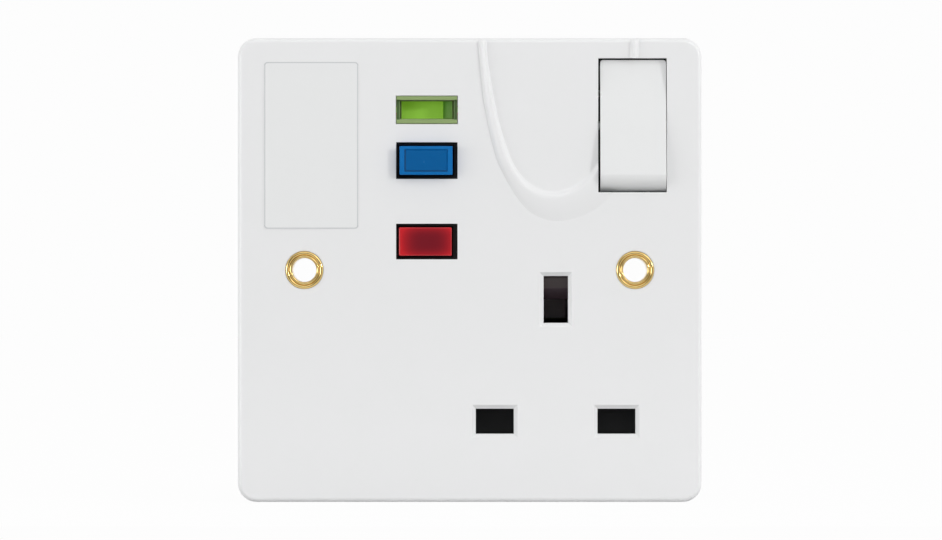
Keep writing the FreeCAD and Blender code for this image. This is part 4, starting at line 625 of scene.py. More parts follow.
def make_plate():
    """The front plate: rounded all round and cut through, with bosses and cheeks behind."""
    settings = bpy.context.scene.socket_plate
    plate = add_panel("face_plate", (0, 0), (HALF_PLATE, HALF_PLATE), FACE, 0)
    round_over(plate, settings.corner_radius * 1000, 10, runs_back)
    round_over(plate, settings.edge_radius * 1000, 6,
               lambda middle, along: abs(middle.y - FACE) < 0.01)
    rim = 2.2
    push_in(plate, to_rear, rim, FACE_INNER)
    tools = [
        slot_tool("neutral_slot", NEUTRAL_X, PIN_Z - 0.02, *PIN_SLOT),
        slot_tool("live_slot", LIVE_X, PIN_Z - 0.02, *PIN_SLOT),
        slot_tool("earth_slot", PIN_X + 0.03, EARTH_Z, *EARTH_SLOT),
    ]
    openings = [
        ("window_opening", (CONTROL_X, WINDOW_Z), (5.65, 2.6)),
        ("reset_opening", (CONTROL_X, RESET_Z), (5.6, 3.35)),
        ("test_opening", (CONTROL_X, TEST_Z), (5.6, 3.25)),
        ("rocker_opening", (ROCKER.x, ROCKER.z), ROCKER_OPENING),
    ]
    tools += [add_panel(name, place, half, *THROUGH) for name, place, half in openings]
    for x in (-EYELET_X, EYELET_X):
        tools.append(add_bar("eyelet_hole", "Y", THROUGH, (x, 0), 2.5, 64))
        tools.append(add_bar("eyelet_seat", "Y", (THROUGH[0], FACE + 0.25), (x, 0), 3.5, 64))
    cut_out(plate, *tools)
    soften(plate, 0.05)
    root = FACE_INNER - 0.1
    bosses = [add_boss("eyelet_boss", x, 0, 4.5, 2.5, (root, -1.15))
              for x in (-EYELET_X, EYELET_X)]
    bosses += [add_boss("screw_boss", x, z, 3.0, 1.53, (root, 5.0)) for x, z in COLUMNS]
    for side in (-1, 1):
        cheek = add_panel("pivot_cheek", (ROCKER.x + 7.35 * side, ROCKER.z), (0.6, 2.6),
                          root, -4.2)
        soften(cheek, 0.25)
        bosses.append(cheek)
    join(plate, *bosses)
    smooth(plate)
    dress(plate, "urea")
    fit(plate, "socket", "white_urea", "front_plate")


# Each long line of the ridge as (x, z) points, from the top left round to the top right
RIDGE_OUTER = [
    (1.5, HALF_PLATE), (1.8, 38.3), (2.15, 34.6), (2.55, 31.0), (3.2, 27.3), (4.0, 23.7),
    (5.0, 20.05), (6.25, 17.3), (8.2, 13.9), (10.6, 11.0), (13.6, 9.4), (16.7, 9.05),
    (20.1, 9.84), (23.0, 11.3), (25.4, 13.6), (27.6, 17.0), (29.2, 21.8), (30.0, 27.3),
    (30.5, 32.8), (30.8, 38.65), (30.9, HALF_PLATE)]
RIDGE_CREST = [
    (2.45, HALF_PLATE), (2.75, 38.3), (3.25, 34.6), (3.85, 31.0), (4.65, 27.3), (5.6, 23.7),
    (6.9, 20.05), (8.35, 17.3), (10.1, 15.2), (12.6, 13.75), (15.2, 13.42), (17.6, 13.75),
    (20.1, 15.04), (21.92, 16.59), (23.38, 18.32), (25.2, 20.97), (27.03, 24.6), (28.3, 28.8),
    (29.2, 33.2), (29.75, 38.65), (29.95, HALF_PLATE)]
RIDGE_INNER = [
    (3.05, HALF_PLATE), (3.35, 38.3), (3.9, 34.6), (4.5, 31.0), (5.35, 27.3), (6.35, 23.7),
    (7.7, 20.05), (9.15, 17.7), (11.0, 15.9), (13.3, 14.75), (15.3, 14.35), (17.2, 14.7),
    (19.55, 15.68), (21.56, 17.5), (22.83, 18.96), (24.48, 21.7), (26.12, 25.16), (27.39, 29.2),
    (28.4, 33.55), (29.1, 38.65), (29.3, HALF_PLATE)]
# How high the ridge stands from its outer foot, over its crest, to its inner foot
RIDGE_SECTION = [
    (-1.06, -0.12), (-1.02, 0.0), (-0.97, 0.08), (-0.9, 0.22), (-0.81, 0.4), (-0.7, 0.58),
    (-0.57, 0.75), (-0.43, 0.88), (-0.28, 0.96), (-0.13, 0.995), (0.0, 0.985), (0.1, 0.94),
    (0.21, 0.85), (0.34, 0.68), (0.48, 0.46), (0.63, 0.25), (0.78, 0.1), (0.92, 0.02),
    (1.02, 0.0), (1.06, -0.12)]


def smooth_line(points, count):
    """Evenly stepped points on a soft curve through the given points."""
    line = []
    last = len(points) - 1
    for step in range(count + 1):
        place = step / count * last
        index = min(int(place), last - 1)
        t = place - index
        ends = [Vector(points[max(0, min(last, index + shift))]) for shift in (-1, 0, 1, 2)]
        before, start, end, after = ends
        rise = (end - before) / 2
        fall = (after - start) / 2
        line.append(start * (2 * t ** 3 - 3 * t ** 2 + 1) + rise * (t ** 3 - 2 * t ** 2 + t)
                    + end * (3 * t ** 2 - 2 * t ** 3) + fall * (t ** 3 - t ** 2))
    return line


def make_ridge():
    """The curved ridge. Its width changes all along, so its rows are laid by code."""
    settings = bpy.context.scene.socket_plate
    height = settings.ridge_height * 1000
    edge = settings.edge_radius * 1000
    count = 150
    root, clearance = 0.8, 0.04
    outer, crest, inner = (smooth_line(line, count)
                           for line in (RIDGE_OUTER, RIDGE_CREST, RIDGE_INNER))
    work_on(None)
    bpy.ops.mesh.primitive_grid_add(
        x_subdivisions=count, y_subdivisions=len(RIDGE_SECTION) - 1, size=0.05)
    ridge = name_it("face_ridge")
    bpy.ops.object.mode_set(mode="EDIT")
    mesh = bmesh.from_edit_mesh(ridge.data)
    mesh.verts.ensure_lookup_table()
    for index, vertex in enumerate(mesh.verts):
        row, column = divmod(index, count + 1)
        across, up = RIDGE_SECTION[row]
        foot = outer[column] if across < 0 else inner[column]
        spot = crest[column].lerp(foot, abs(across))
        # Over the plate's rounded edge it sinks with the edge and fades out
        top = min(spot.y, HALF_PLATE - clearance)
        over = max(0.0, top - (HALF_PLATE - edge)) / edge
        drop = edge * (1 - math.sqrt(1 - over ** 2))
        rise = up * height * (1 - over ** 3)
        vertex.co = [mm(spot.x), mm(FACE - rise + drop), mm(top)]
    bmesh.update_edit_mesh(ridge.data)
    done()
    pick(ridge, "FACE", lambda middle, facing: True)
    draw_out(0, root)
    close_up()
    cut_out(ridge, add_panel(
        "rocker_opening", (ROCKER.x, ROCKER.z), ROCKER_OPENING, *THROUGH))
    smooth(ridge, 50)
    dress(ridge, "urea")
    fit(ridge, "socket", "white_urea")


def make_eyelets():
    """Two brass tubes with a rolled bead and a second, smaller bead inside it."""
    def arc(radius, y, size, start, end, count):
        """Points on a bead's round, from one angle to another."""
        turns = [math.radians(start + (end - start) * i / count) for i in range(count + 1)]
        return [(radius + size * math.cos(a), y - size * math.sin(a)) for a in turns]

    profile = arc(3.1, FACE + 0.1, 0.35, -20, 165, 10)
    profile += arc(2.47, FACE - 0.02, 0.26, 40, 180, 8)
    profile += [(2.15, FACE + 0.5), (2.15, -0.55), (2.35, -0.25), (2.85, -0.12), (3.15, -0.3),
                (3.15, -0.36), (2.49, -0.36), (2.48, FACE + 0.24), (3.43, FACE + 0.24)]
    eyelet = add_turning("eyelet_rolled_left", profile, -EYELET_X, 0, 96)
    smooth(eyelet, 60)
    dress(eyelet, "brass_rolled")
    twin = copy_of(eyelet, "eyelet_rolled_right",
                   Matrix.Translation((mm(EYELET_X * 2), 0, 0)))
    fit(eyelet, "socket", "brass", "eyelet_left")
    fit(twin, "socket", "brass", "eyelet_right")


def make_label():
    """A thin blank label with a fine printed outline."""
    x, z = LABEL_X, LABEL_Z
    half_x, half_z = 8.6, 15.2
    corner, margin, line, near = 0.62, 0.06, 0.17, 0.08
    label = add_panel("blank_label", (x, z), (half_x, half_z), FACE - 0.11, FACE + 0.02)
    round_over(label, corner, 6, runs_back)
    set_back(label, to_front, margin, 0.0)
    set_back(label, lambda middle, facing: facing.y < -SQUARE and abs(middle.x - x) < 1, line, 0.0)
    dress(label, "label", "label_line")
    # Its faces lie along the line's middle, or in a corner
    line_x, line_z = half_x - margin - line / 2, half_z - margin - line / 2
    paint(label, 1, lambda middle, facing: facing.y < -SQUARE and (
        abs(abs(middle.x - x) - line_x) < near
        or abs(abs(middle.z - z) - line_z) < near
        or (abs(middle.x - x) > half_x - corner - near
            and abs(middle.z - z) > half_z - corner - near)))
    fit(label, "socket", "label_film", "indicator_label")


# Controls

def make_lens():
    """The window: bands above and below, deeper end walls, and a clear pane over a hollow."""
    x, z = CONTROL_X, WINDOW_Z
    half_x, half_z = 5.55, 2.5
    below, above, left, right = 0.76, 0.7, 0.62, 0.55
    lens = add_panel("window_lens", (x, z), (half_x, half_z), FACE + 0.03, -6.1)
    for place, normal in (
            ((0, 0, z - half_z + below), (0, 0, 1)), ((0, 0, z + half_z - above), (0, 0, 1)),
            ((x - half_x + left, 0, 0), (1, 0, 0)), ((x + half_x - right, 0, 0), (1, 0, 0))):
        pick(lens, "FACE", to_front)
        bpy.ops.mesh.bisect(plane_co=[mm(v) for v in place], plane_no=normal)
        done()
    ends, pane, wall, hollow = 0.7, 0.35, 0.85, 1.9
    push_in(lens, lambda middle, facing: facing.y < -SQUARE and abs(middle.z - z) < 1.0, 0, ends)
    push_in(lens, lambda middle, facing: facing.y < -SQUARE and abs(middle.z - z) < 1.0
            and abs(middle.x - x) < 3, 0, pane)
    push_in(lens, to_rear, wall, -hollow)
    soften(lens, 0.07)
    smooth(lens)
    dress(lens, "lens_rim", "lens", "lens_end_shade")
    # The end walls are painted deep green: painted shade
    paint(lens, 2, lambda middle, facing: abs(middle.z - z) < 1.85 and middle.y < FACE + 0.9
          and 4.7 < abs(middle.x - x) < 5.4)
    paint(lens, 1, lambda middle, facing: abs(facing.y) > SQUARE
          and abs(middle.x - x) < 4.5 and abs(middle.z - z) < 1.6)
    fit(lens, "socket", "clear_lens", "indicator_lens")


def make_flag():
    """The roller behind the window, with its pins: green in front, red below for when it turns."""
    x, z, y = CONTROL_X, WINDOW_Z, FACE + 6.9
    half = 5.25
    step = x + 3.1
    flag = add_panel("flag_roller", (x, z), (half, 2.0), y - 2.2, y + 1.3)
    pick(flag, "FACE", to_rear)
    bpy.ops.transform.resize(value=(1, 1, 0.6), center_override=(mm(x), mm(y), mm(z)))
    done()
    pick(flag, "FACE", to_front)
    bpy.ops.mesh.bisect(plane_co=(mm(step), 0, 0), plane_no=(1, 0, 0))
    done()
    push_in(flag, lambda middle, facing: facing.y < -SQUARE and middle.x > step, 0, 0.6)
    soften(flag, 0.25, 3)
    pins = add_bar("flag_pins", "X", (x - half - 1.6, x + half + 1.6), (y, z), 0.7, 24)
    join(flag, pins)
    smooth(flag)
    dress(flag, "flag_green", "flag_shaded", "flag_red")
    # The lower step gets the paler finish: painted shade
    paint(flag, 1, lambda middle, facing: middle.x > step - 0.1)
    paint(flag, 2, lambda middle, facing: facing.z < -0.6 and abs(middle.x - x) < half)
    fit(flag, "flag_unit", "green_flag", "indicator_flag")


def make_reset():
    """The blue button, pushed out: sloping flanks and a panel inside a fine groove."""
    x, z = RESET_X, RESET_Z
    front = FACE - 1.8
    half_x, half_z = BUTTON_HALF
    flank_x, flank_z, groove = 0.85, 0.52, 0.1
    button = add_panel("reset_cap", (x, z), BUTTON_HALF, front, -6.0)
    pick(button, "FACE", to_front)
    bpy.ops.mesh.inset(thickness=mm(flank_z))
    bpy.ops.transform.resize(value=((half_x - flank_x) / (half_x - flank_z), 1, 1),
                             center_override=(mm(x), mm(front), mm(z)))
    for step in (-0.14, 0.0, 0.1):
        bpy.ops.mesh.inset(thickness=mm(groove), depth=mm(step))
    done()
    round_over(button, 0.14, 3, lambda middle, along: abs(along.y) > SQUARE
               and abs(middle.x - x) > half_x - 0.01)
    round_over(button, 0.2, 4, lambda middle, along: abs(middle.y - front) < 0.01
               and (abs(middle.x - x) > half_x - 0.15 or abs(middle.z - z) > half_z - 0.15))
    dress(button, "reset_rim", "reset_panel", "reset_groove")

    def on_panel(middle, facing):
        """Whether a face belongs to the panel or its groove."""
        return (middle.y < front + 0.3 and abs(middle.x - x) < half_x - flank_x
                and abs(middle.z - z) < half_z - flank_z)

    # The groove shows dark on the left and below, where it turns away from the light: painted shade
    shade = groove * 4
    paint(button, 1, on_panel)
    paint(button, 2, lambda middle, facing: on_panel(middle, facing)
          and (middle.x < x - half_x + flank_x + shade or middle.z < z - half_z + flank_z + shade))
    stem = add_bar("reset_stem", "Y", (-6.5, 3.7), (x, z), 1.5, 32)
    join(button, stem)
    smooth(button, 30)
    fit(button, "reset_unit", "blue_button", "reset_button")


def make_test():
    """The red button, flush with the face: a plain tinted cap with soft edges."""
    x, z = TEST_X, TEST_Z
    front = FACE + 0.2
    button = add_panel("test_cap", (x, z), BUTTON_HALF, front, -4.95)
    round_over(button, 0.22, 4, runs_back)
    round_over(button, 0.2, 4, lambda middle, along: abs(middle.y - front) < 0.01)
    stem = add_bar("test_stem", "Y", (-7.0, 9.0), (x, z), 0.9, 24)
    join(button, stem)
    smooth(button)
    dress(button, "test")
    fit(button, "test_unit", "red_button", "test_button")


def make_rocker():
    """The rocker, made level about its pivot and then tilted to off."""
    settings = bpy.context.scene.socket_controls
    face = -3.74
    lower, upper, half = 12.05, 11.5, 6.0
    corner, wall, aside = 0.5, 1.3, 0.13
    rocker = add_block("rocker_cap", (-half, face, -lower), (half, 1.0, upper))
    nose = settings.rocker_nose * 1000
    round_over(rocker, nose, 10,
               lambda middle, along: abs(along.x) > SQUARE and abs(middle.y - face) < 0.01
               and middle.z < 0)
    # The nose is drawn out into the opening, deeper than it is high
    pick(rocker, "FACE", lambda middle, facing: middle.z < nose - lower
         and facing.y < -0.02 and facing.z < -0.02)
    bpy.ops.transform.resize(value=(1, 1.85, 1), center_override=(0, mm(face), 0))
    done()
    round_over(rocker, corner, 4, lambda middle, along: abs(along.y) > SQUARE and middle.z > 0)
    # The edges round the face, and those down the nose's two sides
    round_over(rocker, 0.2, 4, lambda middle, along: middle.y < face + 0.01
               and abs(along.y) < 0.1
               and (abs(middle.x) > half - corner - 0.01 or middle.z > upper - corner - 0.01)
               or abs(abs(middle.x) - half) < 0.01 and middle.z < nose - lower
               and middle.y < face + nose * 1.8 and abs(along.x) < 0.01)
    push_in(rocker, to_rear, wall, -3.3)
    soften(rocker, 0.12)
    hub = add_block("rocker_hub", (-5.8, -2.6, -2.2), (2.3, 4.5, 2.2))
    soften(hub, 0.2)
    join(rocker, hub)
    smooth(rocker)
    lean_back(rocker, -ROCKER_REST, ROCKER + Vector((aside, 0, 0)))
    dress(rocker, "rocker_urea")
    fit(rocker, "rocker_unit", "white_urea", "rocker")


# Behind the face

def make_shutter():
    """The sliding shutter: a bar behind the two lower slots and a creased ramp in the upper one."""
    front, rear = -6.7, -4.2
    x, half = PIN_X, 2.43
    bar = add_block("sliding_shutter", (x - 15.2, front, -30.2), (x + 15.2, rear, -24.5))
    cut_out(bar, add_block("boss_notch", (12.2, -8, -31.5), (19.0, -3, -26.5)))
    stem = add_block("shutter_stem", (x - 3.5, front, -24.7), (x + 3.5, rear, 1.6))
    cut_out(stem, add_block("earth_window", (x - 2.38, -8, -15.4), (x + 2.38, -3, -1.3)))
    soften(bar, 0.2)
    soften(stem, 0.2)
    ramp = shape_ring("shutter_ramp", [
        (x - half, y, z) for y, z in (
            (rear, -5.4), (rear, -1.2), (front, -1.2), (front, -1.45), (front + 0.8, -3.3))])
    bpy.ops.mesh.edge_face_add()
    draw_out(half * 2, 0)
    close_up()
    soften(ramp, 0.08, 2, 15)
    join(bar, stem, ramp)
    smooth(bar, 25)
    dress(bar, "shutter_brown", "shutter_black", "shutter_slope_lit")
    # The bar behind the lower slots is painted almost black: painted shade
    paint(bar, 1, lambda middle, facing: middle.z < -24.4)
    # The ramp's sloping face gets the paler finish: painted light
    paint(bar, 2, lambda middle, facing: -5.5 < middle.z < -3.2 and facing.y < -0.3
          and abs(middle.x - x) < half)
    fit(bar, "shutter_unit", "shutter_brown", "safety_shutter")


def make_housing():
    """The rear housing, with notches for the box lugs, wire entries and screw wells."""
    shell = add_prism("housing_shell", lug_outline(0), (HOUSING_FRONT, HOUSING_REAR))
    round_over(shell, 1.0, 5, lambda middle, along: abs(along.y) > SQUARE
               and abs(middle.x) > 33 and abs(middle.z) > 33)
    cavity = add_prism("housing_cavity", lug_outline(HOUSING_WALL),
                       (HOUSING_FRONT - 1, HOUSING_REAR - HOUSING_WALL))
    tools = [cavity]
    tools += [add_bar("wire_entry", "Z", (30, 36), (x, 17.0), 2.7) for x in TERMINALS]
    well, rear = 2.9, (20, 26)
    tools += [add_bar("screw_window", "Y", rear, (x, TERMINAL_Z), well) for x in TERMINALS]
    tools += [add_bar("screw_well", "Y", rear, place, well) for place in COLUMNS]
    tools.append(add_block("strap_slot", (-26, -3, -3.2), (26, -0.15, 1.9)))
    cut_out(shell, *tools)
    soften(shell, 0.35, 3)
    profile = [(1.6, 5.0), (3.3, 5.0), (3.3, 22.4), (well, 22.4), (well, 16.0), (1.6, 16.0)]
    columns = [add_turning("screw_column", profile, x, z, 48) for x, z in COLUMNS]
    join(shell, *columns)
    smooth(shell)
    dress(shell, "housing")
    fit(shell, "socket", "housing_grey", "rear_housing")


def make_screws():
    """Pan head screws with a slot, one modelled and the rest copied."""
    def screw(name, head, seat, top, start, core):
        """One screw: radius and place of its head, then where its shank starts and its radius."""
        dome = [(head * math.cos(math.radians(a)), seat + (top - seat) * math.sin(math.radians(a)))
                for a in (8, 25, 45, 62, 76)]
        profile = [(0.05, start), (core, start), (core, seat), (head, seat), *dome, (0.05, top)]
        piece = add_turning(name, profile, 0, 0, 40)
        cut_out(piece, add_block("slot", (-0.45, top - 0.85, -head - 1), (0.45, top + 1, head + 1)))
        soften(piece, 0.06, 2, 30)
        smooth(piece, 35)
        dress(piece, "plated_steel")
        return piece

    def spread(piece, places, turns, name, node):
        """Copies a screw to its places, each turned its own way, as one piece."""
        parts = [copy_of(piece, name, Matrix.Rotation(math.radians(turn), 4, "Y"),
                         Matrix.Translation((mm(x), 0, mm(z))))
                 for (x, z), turn in zip(places, turns)]
        bpy.data.objects.remove(piece)
        join(*parts)
        fit(parts[0], "socket", "plated_steel", node)

    spread(screw("housing_screw", 2.7, 16.0, 18.0, -3.0, 1.45),
           COLUMNS, (20, 65, 110, 160), "pan_head_screws", "housing_screws")
    spread(screw("terminal_screw", 2.6, 21.55, 23.35, 19.4, 1.45),
           [(x, TERMINAL_Z) for x in TERMINALS], (35, 80, 10, 125), "clamp_screws",
           "terminal_screws")


# The finish of each inner part that is carried over
CARRIED = {
    "black": ["button_guide", "switch_base", "latch_lever", "contact_carrier", "inner_carrier",
              "coil_bobbin"],
    "plated_steel": ["rocker_pin", "latch_pin", "coil_yoke", "trip_plunger"],
    "spring_steel": ["plunger_springs", "shutter_spring", "trip_spring", "reset_spring",
                     "test_spring"],
    "contact_plated": ["neutral_contact", "live_contact", "earth_contact"],
    "brass": ["earth_strap", "live_terminal", "neutral_terminal", "earth_terminal_inner",
              "earth_terminal_outer", "rocker_plungers", "seesaw_posts"],
    "copper": ["live_seesaw_contact", "neutral_seesaw_contact", "live_switch_contact",
               "neutral_switch_contact", "moving_contacts", "fixed_contacts", "test_bridge",
               "test_posts", "live_link", "neutral_link"],
    "ferrite": ["toroid_core"],
    "winding": ["toroid_winding", "coil_winding"],
    "board": ["circuit_board"],
    "sleeve": ["live_lead", "neutral_lead"],
    "dark_part": ["control_chip", "bridge_rectifier", "smoothing_capacitor"],
    "blue_part": ["varistor", "resistors"],
}


def dress_inner_parts():
    """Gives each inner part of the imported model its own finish."""
    for finish, names in CARRIED.items():
        for name in names:
            dress(frame["nodes"][name], finish)
    for node in frame["nodes"].values():
        if not node.data.materials or node.data.materials[0] not in FINISHES.values():
            dress(node, "urea")


# Studio

# The view's width in pixels and the pixels to a millimetre of the face
PHOTO_WIDTH = 942
PIXELS_PER_MM = 5.485
CAMERA_X = 0.23
# The floor's side and how far it comes forward, in metres
FLOOR_REACH = 3
FLOOR_AHEAD = 0.12
# How much of the floor's look is plain white, where it is looked at
FLOOR_GLOW = 0.965


def stand(name, data, place, target):
    """Stands a camera or a lamp in its place and turns it to its target."""
    item = bpy.data.objects.new(name, data)
    bpy.context.scene.collection.objects.link(item)
    item.location = place
    item.rotation_mode = "QUATERNION"
    item.rotation_quaternion = (Vector(target) - item.location).to_track_quat("-Z", "Y")
    return item


def add_lamp(name, place, size, power):
    """A soft light that looks at the plate, unseen by the camera."""
    data = bpy.data.lights.new(name, "AREA")
    data.shape = "RECTANGLE"
    data.size, data.size_y = size
    data.energy = power
    stand(name, data, place, (0, 0, 0)).visible_camera = False


def white_paper():
    """Uncoated paper: matt and fibrous where it is lit, near white where it is looked at."""
    material, shader, place = new_material("matt_white_paper", {"Roughness": 0.9})
    fibre = add_node(material, "TexNoise", {"Vector": place, "Scale": 1000 / 1.11})
    tint = add_node(material, "Mix", {0: fibre, 6: rgba("#CDCDCD"), 7: rgba("#D1D1D1")},
                    data_type="RGBA")
    feed(material, shader, {"Base Color": tint.outputs[2]})
    glow = add_node(material, "Emission", {"Color": rgba("#FFFFFF"), "Strength": 1.0})
    ray = add_node(material, "LightPath").outputs
    clear = add_node(material, "Math", {
        0: ray["Is Camera Ray"], 1: ray["Is Transmission Ray"]}, operation="MAXIMUM")
    seen = add_node(material, "Math", {0: clear, 1: ray["Is Glossy Ray"]},
                    operation="MAXIMUM")
    share = add_node(material, "Math", {0: seen, 1: FLOOR_GLOW}, operation="MULTIPLY")
    blend = add_node(material, "MixShader", {0: share, 1: shader, 2: glow})
    feed(material, material.node_tree.nodes["Material Output"], {"Surface": blend})
    return material


def make_world(settings):
    """Pale surroundings: dim behind the camera, bright beside and behind the socket."""
    world = bpy.data.worlds.new("soft_studio")
    bpy.context.scene.world = world
    world.use_nodes = True
    sky = world.node_tree.nodes["Background"]
    way = add_node(world, "TexCoord").outputs["Generated"]
    parts = add_node(world, "SeparateXYZ", {"Vector": way}).outputs
    # The level falls off towards the camera's side, and a little towards the top
    ahead = add_node(world, "Math", {0: parts["Y"], 1: 0.0}, operation="MINIMUM")
    square = add_node(world, "Math", {0: ahead, 1: 2.0}, operation="POWER")
    level = add_node(world, "MapRange", {
        "Value": square, "To Min": settings.side_level, "To Max": settings.front_level})
    high = add_node(world, "MapRange", {
        "Value": parts["Z"], "To Min": 1.0, "To Max": settings.zenith_level})
    around = add_node(world, "Math", {0: level, 1: high}, operation="MULTIPLY")
    # Straight behind the socket it is as white as the background
    whole = add_node(world, "Math", {0: around, 1: parts["Y"]}, operation="MAXIMUM")
    feed(world, sky, {"Color": rgba("#FFFFFF"), "Strength": whole})
    white = add_node(world, "Background", {"Color": rgba("#FDFDFD"), "Strength": 1.0})
    ray = add_node(world, "LightPath").outputs
    seen = add_node(world, "Math", {
        0: ray["Is Camera Ray"], 1: ray["Is Transmission Ray"]}, operation="MAXIMUM")
    blend = add_node(world, "MixShader", {0: seen, 1: sky, 2: white})
    feed(world, world.node_tree.nodes["World Output"], {"Surface": blend})


def make_stage():
    """The camera straight ahead, four lamps, a paper floor and the surroundings."""
    scene = bpy.context.scene
    settings = scene.socket_stage
    distance = settings.camera_distance
    data = bpy.data.cameras.new("photo_camera")
    data.lens = data.sensor_width * distance / mm(PHOTO_WIDTH / PIXELS_PER_MM)
    data.clip_start = 0.05
    data.clip_end = 20
    scene.camera = stand("photo_camera", data, (mm(CAMERA_X), mm(FACE) - distance, 0),
                         (mm(CAMERA_X), 0, 0))

    # Places and sizes in metres
    add_lamp("right_lamp", (0.87, -0.73, 0.28), (0.13, 0.13), settings.right_power)
    add_lamp("left_strip", (-0.94, -0.74, 0.04), (1.1, 0.34), settings.left_power)
    add_lamp("corner_lamp", (0.64, -0.79, 0.64), (0.5, 0.5), settings.corner_power)
    add_lamp("top_lamp", (0.0, -0.45, 0.3), (0.4, 0.4), settings.top_power)

    work_on(None)
    # A hair under the plate, so that the two do not lie in one plane
    bpy.ops.mesh.primitive_plane_add(
        size=FLOOR_REACH, location=(0, FLOOR_REACH / 2 - FLOOR_AHEAD, mm(-HALF_PLATE - 0.15)))
    floor = name_it("studio_floor")
    floor.data.materials.append(white_paper())

    make_world(settings)
    scene.view_settings.view_transform = "Standard"


# Settings, operators and panel

class SOCKET_PG_plate(bpy.types.PropertyGroup):
    face_colour: bpy.props.FloatVectorProperty(
        name="Face colour", description="Colour of the moulded front", subtype="COLOR",
        default=linear("#E6E6E7"))
    corner_radius: bpy.props.FloatProperty(
        name="Corner radius", description="Rounding of the plate's four corners", unit="LENGTH",
        default=mm(3.4))
    edge_radius: bpy.props.FloatProperty(
        name="Edge radius", description="Rounding where the face meets the sides", unit="LENGTH",
        default=mm(0.85))
    ridge_height: bpy.props.FloatProperty(
        name="Ridge height", description="How far the curved ridge stands out", unit="LENGTH",
        default=mm(0.85))


class SOCKET_PG_controls(bpy.types.PropertyGroup):
    reset_colour: bpy.props.FloatVectorProperty(
        name="Reset colour", description="Colour of the reset button's flanks", subtype="COLOR",
        default=linear("#126CB0"))
    test_colour: bpy.props.FloatVectorProperty(
        name="Test colour", description="Colour of the test button's rim", subtype="COLOR",
        default=linear("#C0242B"))
    rocker_nose: bpy.props.FloatProperty(
        name="Rocker nose", description="Rounding of the rocker's lower end", unit="LENGTH",
        default=mm(2.5))


class SOCKET_PG_stage(bpy.types.PropertyGroup):
    camera_distance: bpy.props.FloatProperty(
        name="Camera distance", description="From the lens to the face", unit="LENGTH", default=1.2)
    right_power: bpy.props.FloatProperty(
        name="Right lamp", description="Small lamp that throws the rocker's shadow", unit="POWER",
        default=3.3)
    left_power: bpy.props.FloatProperty(
        name="Left strip", description="Long low strip of light on the left", unit="POWER",
        default=4.35)
    corner_power: bpy.props.FloatProperty(
        name="Corner lamp", description="Lamp at the upper right", unit="POWER", default=2.12)
    top_power: bpy.props.FloatProperty(
        name="Top lamp", description="Soft lamp above, close in front", unit="POWER", default=0.5)
    front_level: bpy.props.FloatProperty(
        name="Front level", description="Strength of the surroundings behind the camera",
        default=0.03)
    zenith_level: bpy.props.FloatProperty(
        name="Zenith level", description="Share of the side level that is left straight above",
        default=0.6)
    side_level: bpy.props.FloatProperty(
        name="Side level", description="Strength of the surroundings beside and behind the socket",
        default=1.15)


class SOCKET_OT_finishes(bpy.types.Operator):
    """Makes every material of the socket"""
    bl_idname = "socket.finishes"
    bl_label = "Make finishes"

    def execute(self, context):
        make_materials()
        return {"FINISHED"}


class SOCKET_OT_plate(bpy.types.Operator):
    """Models the front plate with its slots and openings"""
    bl_idname = "socket.plate"
    bl_label = "Make face plate"

    def execute(self, context):
        make_plate()
        return {"FINISHED"}


class SOCKET_OT_ridge(bpy.types.Operator):
    """Models the curved ridge on the face"""
    bl_idname = "socket.ridge"
    bl_label = "Make ridge"

    def execute(self, context):
        make_ridge()
        return {"FINISHED"}


class SOCKET_OT_eyelets(bpy.types.Operator):
    """Models the two rolled brass eyelets"""
    bl_idname = "socket.eyelets"
    bl_label = "Make eyelets"

    def execute(self, context):
        make_eyelets()
        return {"FINISHED"}


class SOCKET_OT_label(bpy.types.Operator):
    """Models the blank label"""
    bl_idname = "socket.label"
    bl_label = "Make label"

    def execute(self, context):
        make_label()
        return {"FINISHED"}


class SOCKET_OT_window(bpy.types.Operator):
    """Models the clear window"""
    bl_idname = "socket.window"
    bl_label = "Make window"

    def execute(self, context):
        make_lens()
        return {"FINISHED"}


class SOCKET_OT_flag(bpy.types.Operator):
    """Models the green flag behind the window"""
    bl_idname = "socket.flag"
    bl_label = "Make flag"

    def execute(self, context):
        make_flag()
        return {"FINISHED"}


class SOCKET_OT_reset(bpy.types.Operator):
    """Models the blue button"""
    bl_idname = "socket.reset"
    bl_label = "Make reset button"

    def execute(self, context):
        make_reset()
        return {"FINISHED"}


class SOCKET_OT_test(bpy.types.Operator):
    """Models the red button"""
    bl_idname = "socket.test"
    bl_label = "Make test button"

    def execute(self, context):
        make_test()
        return {"FINISHED"}


class SOCKET_OT_rocker(bpy.types.Operator):
    """Models the rocker in its off position"""
    bl_idname = "socket.rocker"
    bl_label = "Make rocker"

    def execute(self, context):
        make_rocker()
        return {"FINISHED"}


class SOCKET_OT_shutter(bpy.types.Operator):
    """Models the sliding shutter"""
    bl_idname = "socket.shutter"
    bl_label = "Make shutter"

    def execute(self, context):
        make_shutter()
        return {"FINISHED"}


class SOCKET_OT_housing(bpy.types.Operator):
    """Models the rear housing"""
    bl_idname = "socket.housing"
    bl_label = "Make housing"

    def execute(self, context):
        make_housing()
        return {"FINISHED"}


class SOCKET_OT_screws(bpy.types.Operator):
    """Models the housing and terminal screws"""
    bl_idname = "socket.screws"
    bl_label = "Make screws"

    def execute(self, context):
        make_screws()
        return {"FINISHED"}


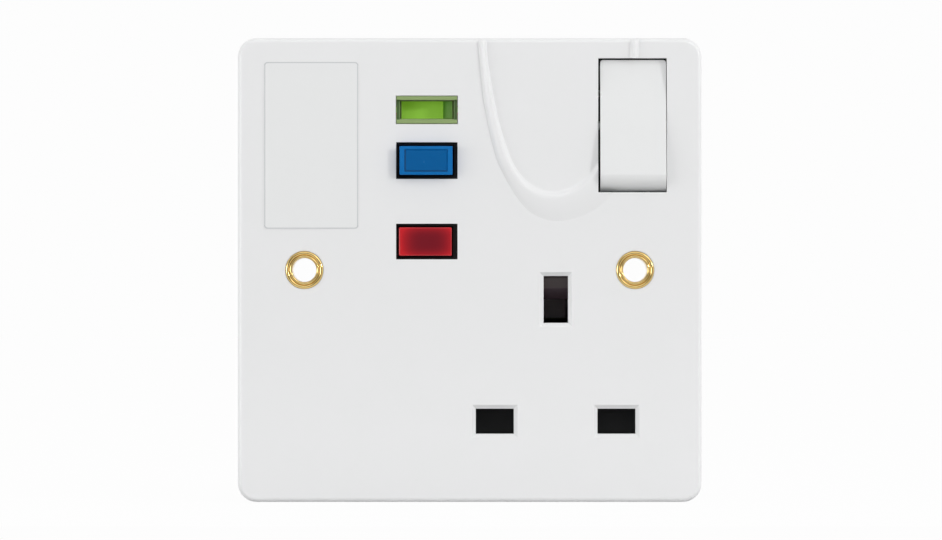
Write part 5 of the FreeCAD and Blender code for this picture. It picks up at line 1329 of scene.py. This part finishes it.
class SOCKET_OT_inner_parts(bpy.types.Operator):
    """Gives the inner parts their finishes"""
    bl_idname = "socket.inner_parts"
    bl_label = "Dress inner parts"

    def execute(self, context):
        dress_inner_parts()
        return {"FINISHED"}


class SOCKET_OT_stage(bpy.types.Operator):
    """Sets the camera, the lamps, the floor and the world"""
    bl_idname = "socket.stage"
    bl_label = "Make stage"

    def execute(self, context):
        make_stage()
        return {"FINISHED"}


OPERATORS = [
    SOCKET_OT_finishes,
    SOCKET_OT_plate,
    SOCKET_OT_ridge,
    SOCKET_OT_eyelets,
    SOCKET_OT_label,
    SOCKET_OT_window,
    SOCKET_OT_flag,
    SOCKET_OT_reset,
    SOCKET_OT_test,
    SOCKET_OT_rocker,
    SOCKET_OT_shutter,
    SOCKET_OT_housing,
    SOCKET_OT_screws,
    SOCKET_OT_inner_parts,
    SOCKET_OT_stage,
]


class SOCKET_PT_panel(bpy.types.Panel):
    bl_label = "Switched socket"
    bl_idname = "SOCKET_PT_panel"
    bl_space_type = "VIEW_3D"
    bl_region_type = "UI"
    bl_category = "Socket"

    def draw(self, context):
        for group in ("socket_plate", "socket_controls", "socket_stage"):
            settings = getattr(context.scene, group)
            for name in settings.__annotations__:
                self.layout.prop(settings, name)
        for item in OPERATORS:
            self.layout.operator(item.bl_idname)


GROUPS = {
    "socket_plate": SOCKET_PG_plate,
    "socket_controls": SOCKET_PG_controls,
    "socket_stage": SOCKET_PG_stage,
}


def register():
    for name, group in GROUPS.items():
        bpy.utils.register_class(group)
        setattr(bpy.types.Scene, name, bpy.props.PointerProperty(type=group))
    for item in OPERATORS + [SOCKET_PT_panel]:
        bpy.utils.register_class(item)


def unregister():
    for item in reversed(OPERATORS + [SOCKET_PT_panel]):
        bpy.utils.unregister_class(item)
    for name, group in GROUPS.items():
        delattr(bpy.types.Scene, name)
        bpy.utils.unregister_class(group)


def main():
    register()
    for item in OPERATORS:
        getattr(bpy.ops.socket, item.bl_idname.split(".")[1])()


if __name__ == "__main__":
    main()
